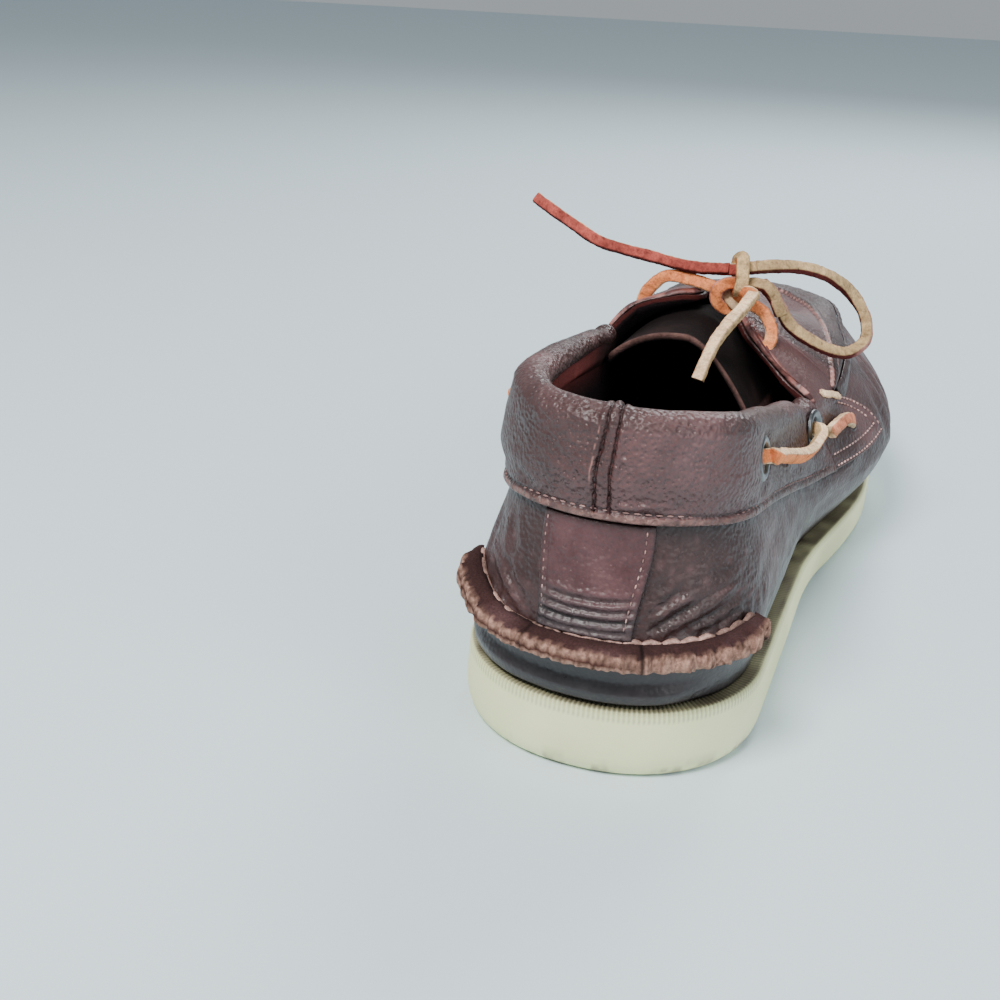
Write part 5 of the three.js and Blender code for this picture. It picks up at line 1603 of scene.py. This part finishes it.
def make_insole():
    s = np.linspace(-1, 1, 361)[:-1]
    inset = LEDGE + WALL + 3 * GAP + tuck(s)
    rings = []
    for extra, height in ((0.4, 0.0), (0, 0.5), (0, INSOLE_THICK - 0.6), (0.5, INSOLE_THICK)):
        p = inset_outline(s, inset + extra)
        p[:, 2] = sole_top(p[:, 1]) + GAP + height
        rings.append(p)
    centre_x = axis(rings[0][:, 1])
    for share in np.linspace(0.1, 1, 18):
        p = rings[3].copy()
        p[:, 0] = mix(p[:, 0], centre_x, share)
        p[:, 1] = mix(p[:, 1], clamp(p[:, 1], 60, 240), share)
        p[:, 2] = sole_top(p[:, 1]) + GAP + INSOLE_THICK
        rings.append(p)
    flat = np.array(rings).reshape(-1, 3)
    faces = [tuple(f) for f in grid_faces(len(rings), len(s), close_columns=True).tolist()]
    # Painted shade: the lining's red suede darkened almost to black inside the shoe.
    colours = toned(flat, SHADED_SUEDE * 1.2, RED_SUEDE * 0.35, size=25, seed=53)
    make_piece("sock_lining", flat, faces + [tuple(range(len(s)))], colours,
               SUEDE, ["insole"])


RIB_PITCH = 1.25
TREAD_INSET = 3.9
TREAD_PITCH = 5.0
TREAD_DEPTH = 1.1


def make_outsole():
    """Pale rubber unit: ribbed top edge, eased corners, hollow waist, slit tread."""
    count = 2700
    s = np.linspace(-1, 1, count + 1)[:-1]
    rim = inset_outline(s, np.zeros(count))
    walked = walked_along(rim)
    teeth = 0.5 + 0.5 * np.sin(walked * 2 * np.pi / RIB_PITCH)
    rows = [
        (TREAD_INSET, 0.08, 0), (TREAD_INSET, 0.0, 0), (2.6, 0.012, 0), (1.6, 0.05, 0), (0.9, 0.11, 0),
        (0.35, 0.2, 0), (0.05, 0.32, 0), (0, 0.45, 0), (0.12, 0.6, 0), (0.3, 0.72, 0), (0.42, 0.82, 0),
        (0.5, 0.87, 0), (0.5, 0.92, 0.1), (0.52, 0.955, 0.6), (0.75, 0.985, 0.8), (1.3, 1.0, 0.8),
        (2.0, 1.0, 0.7), (3.0, 0.995, 0.6), (6.5, 0.995, 0.6),
    ]
    rings = []
    for inset, height, tooth in rows:
        p = inset_outline(s, np.full(count, float(inset)) + tooth * teeth * 0.75 * (height < 0.99))
        floor = spring(p[:, 1]) + hollow(p[:, 1])
        p[:, 2] = mix(floor, sole_top(p[:, 1]), height) - (0.5 * tooth * teeth if height > 0.93 else 0)
        rings.append(p)
    flat = np.array(rings).reshape(-1, 3)
    faces = [tuple(f) for f in grid_faces(len(rows), count, close_columns=True)]
    share = np.repeat(np.array([r[1] for r in rows]), count)
    inset = np.repeat(np.array([r[0] for r in rows]), count)
    pale = toned(flat, RUBBER_PALE * 0.9, RUBBER_PALE * 1.08, size=40, seed=54)
    scuff = smooth(noise(flat * np.array([1, 1, 2.5]), 6, 55) + 0.6 * noise(flat, 1.6, 78), -0.1, 0.7)
    scuff = scuff * (1 - smooth(share, 0.03, 0.3))
    pale = mix(pale, RUBBER_GRIME_AND_SHADE, (scuff * 0.75)[:, None])
    smear = smooth(noise(flat * np.array([1, 1, 3]), 26, 56), 0.2, 0.8) * 0.16
    pale = mix(pale, RUBBER_GRIME_AND_SHADE * 1.6, smear[:, None])
    # The top ledge darkens toward the wall: partly dirt, partly painted shade in the corner under the upper.
    grime_and_shade = (share > 0.94) * (0.15 + 0.85 * smooth(inset, 0.45, 1.6)) * (0.85 + 0.2 * noise(flat, 6, 57))
    pale = mix(pale, RUBBER_GRIME_AND_SHADE * 0.38, clamp(grime_and_shade, 0, 1)[:, None])
    # Painted shade in the grooves between the ribs.
    grooves = np.tile(teeth, len(rows)) * (share > 0.85)
    pale = pale * (1 - 0.35 * grooves)[:, None]
    ends = [tuple(range(count))[::-1], tuple((len(rows) - 1) * count + j for j in range(count))]
    make_piece("rubber_sole", flat, faces + ends, pale, RUBBER, ["outsole"])
    make_tread()


def make_tread():
    """The sole's underside, cut across by fine wavy slits."""
    half = np.linspace(0.004, 0.996, 470)
    right = inset_outline(half, np.full(len(half), TREAD_INSET - 0.02))
    left = inset_outline(-half, np.full(len(half), TREAD_INSET - 0.02))
    low, high = max(right[0, 1], left[0, 1]), min(right[-1, 1], left[-1, 1])
    y = np.linspace(low + 0.05, high - 0.05, 470)
    x_right = np.interp(y, right[:, 1], right[:, 0])
    x_left = np.interp(y, left[:, 1], left[:, 0])
    share = np.linspace(0, 1, 46)
    X = mix(x_left[:, None], x_right[:, None], share[None])
    Y = y[:, None] * np.ones((1, len(share)))
    wave = 1.3 * np.sin(X * 2 * np.pi / 11)
    phase = ((Y + wave) / TREAD_PITCH) % 1
    slit = band(phase, 0.5, 0.09)
    slit = slit * smooth(share, 0, 0.04)[None] * (1 - smooth(share, 0.96, 1))[None]
    Z = spring(Y) + hollow(Y) + 0.02 + TREAD_DEPTH * slit
    points = np.stack([X, Y, Z], -1)
    lid = points.copy()
    lid[..., 2] = spring(Y) + hollow(Y) + 1.5
    ring = np.concatenate([points, lid[:, ::-1]], 1)
    tone = toned(ring, RUBBER_PALE * 0.8, RUBBER_PALE, size=30, seed=58)
    worn = smooth(noise(ring, 12, 59), 0.1, 0.9)[..., None] * 0.45
    tone = mix(tone, RUBBER_GRIME_AND_SHADE, worn)
    # Painted shade in the tread's slits.
    cut = np.concatenate([slit, 0 * slit], 1)[..., None]
    make_piece("tread", ring, loft_faces(ring, False), mix(tone, RUBBER_GRIME_AND_SHADE * 0.4, cut * 0.8),
               RUBBER, ())


make_tongue()
make_insole()
make_outsole()


# Floor, by half its size in metres, and lights

FLOOR = 3.0


def make_floor():
    material, tree, shader = new_material("pale_floor", roughness=0.85, specular=0.2)
    shader.inputs["Base Color"].default_value = (0.62, 0.74, 0.79, 1)
    mesh = bpy.data.meshes.new("floor")
    corners = [(-FLOOR, -FLOOR, 0), (FLOOR, -FLOOR, 0), (FLOOR, FLOOR, 0), (-FLOOR, FLOOR, 0)]
    mesh.from_pydata(corners, [], [(0, 1, 2, 3)])
    mesh.materials.append(material)
    floor = bpy.data.objects.new("floor", mesh)
    bpy.context.scene.collection.objects.link(floor)


def add_light(name, at, size, power, colour=(1, 1, 1), aim=(0, -0.02, 0.04)):
    data = bpy.data.lights.new(name, "AREA")
    data.shape = "DISK"
    data.size = size
    data.energy = power
    data.color = colour
    light = bpy.data.objects.new(name, data)
    light.location = at
    light.rotation_euler = (Vector(aim) - Vector(at)).to_track_quat("-Z", "Y").to_euler()
    bpy.context.scene.collection.objects.link(light)


def make_lights():
    add_light("key", (-0.25, -0.75, 1.15), 0.5, 24.0, (1.0, 0.975, 0.95))
    add_light("fill", (0.9, -0.4, 0.7), 0.8, 6.0, (0.94, 0.97, 1.0))
    add_light("rim", (0.1, 0.9, 0.8), 0.6, 9.0, (0.96, 0.98, 1.0))
    surroundings = bpy.data.worlds.new("studio")
    surroundings.use_nodes = True
    background = surroundings.node_tree.nodes["Background"]
    background.inputs["Color"].default_value = (0.80, 0.87, 0.92, 1)
    background.inputs["Strength"].default_value = 0.45
    bpy.context.scene.world = surroundings


make_floor()
make_lights()
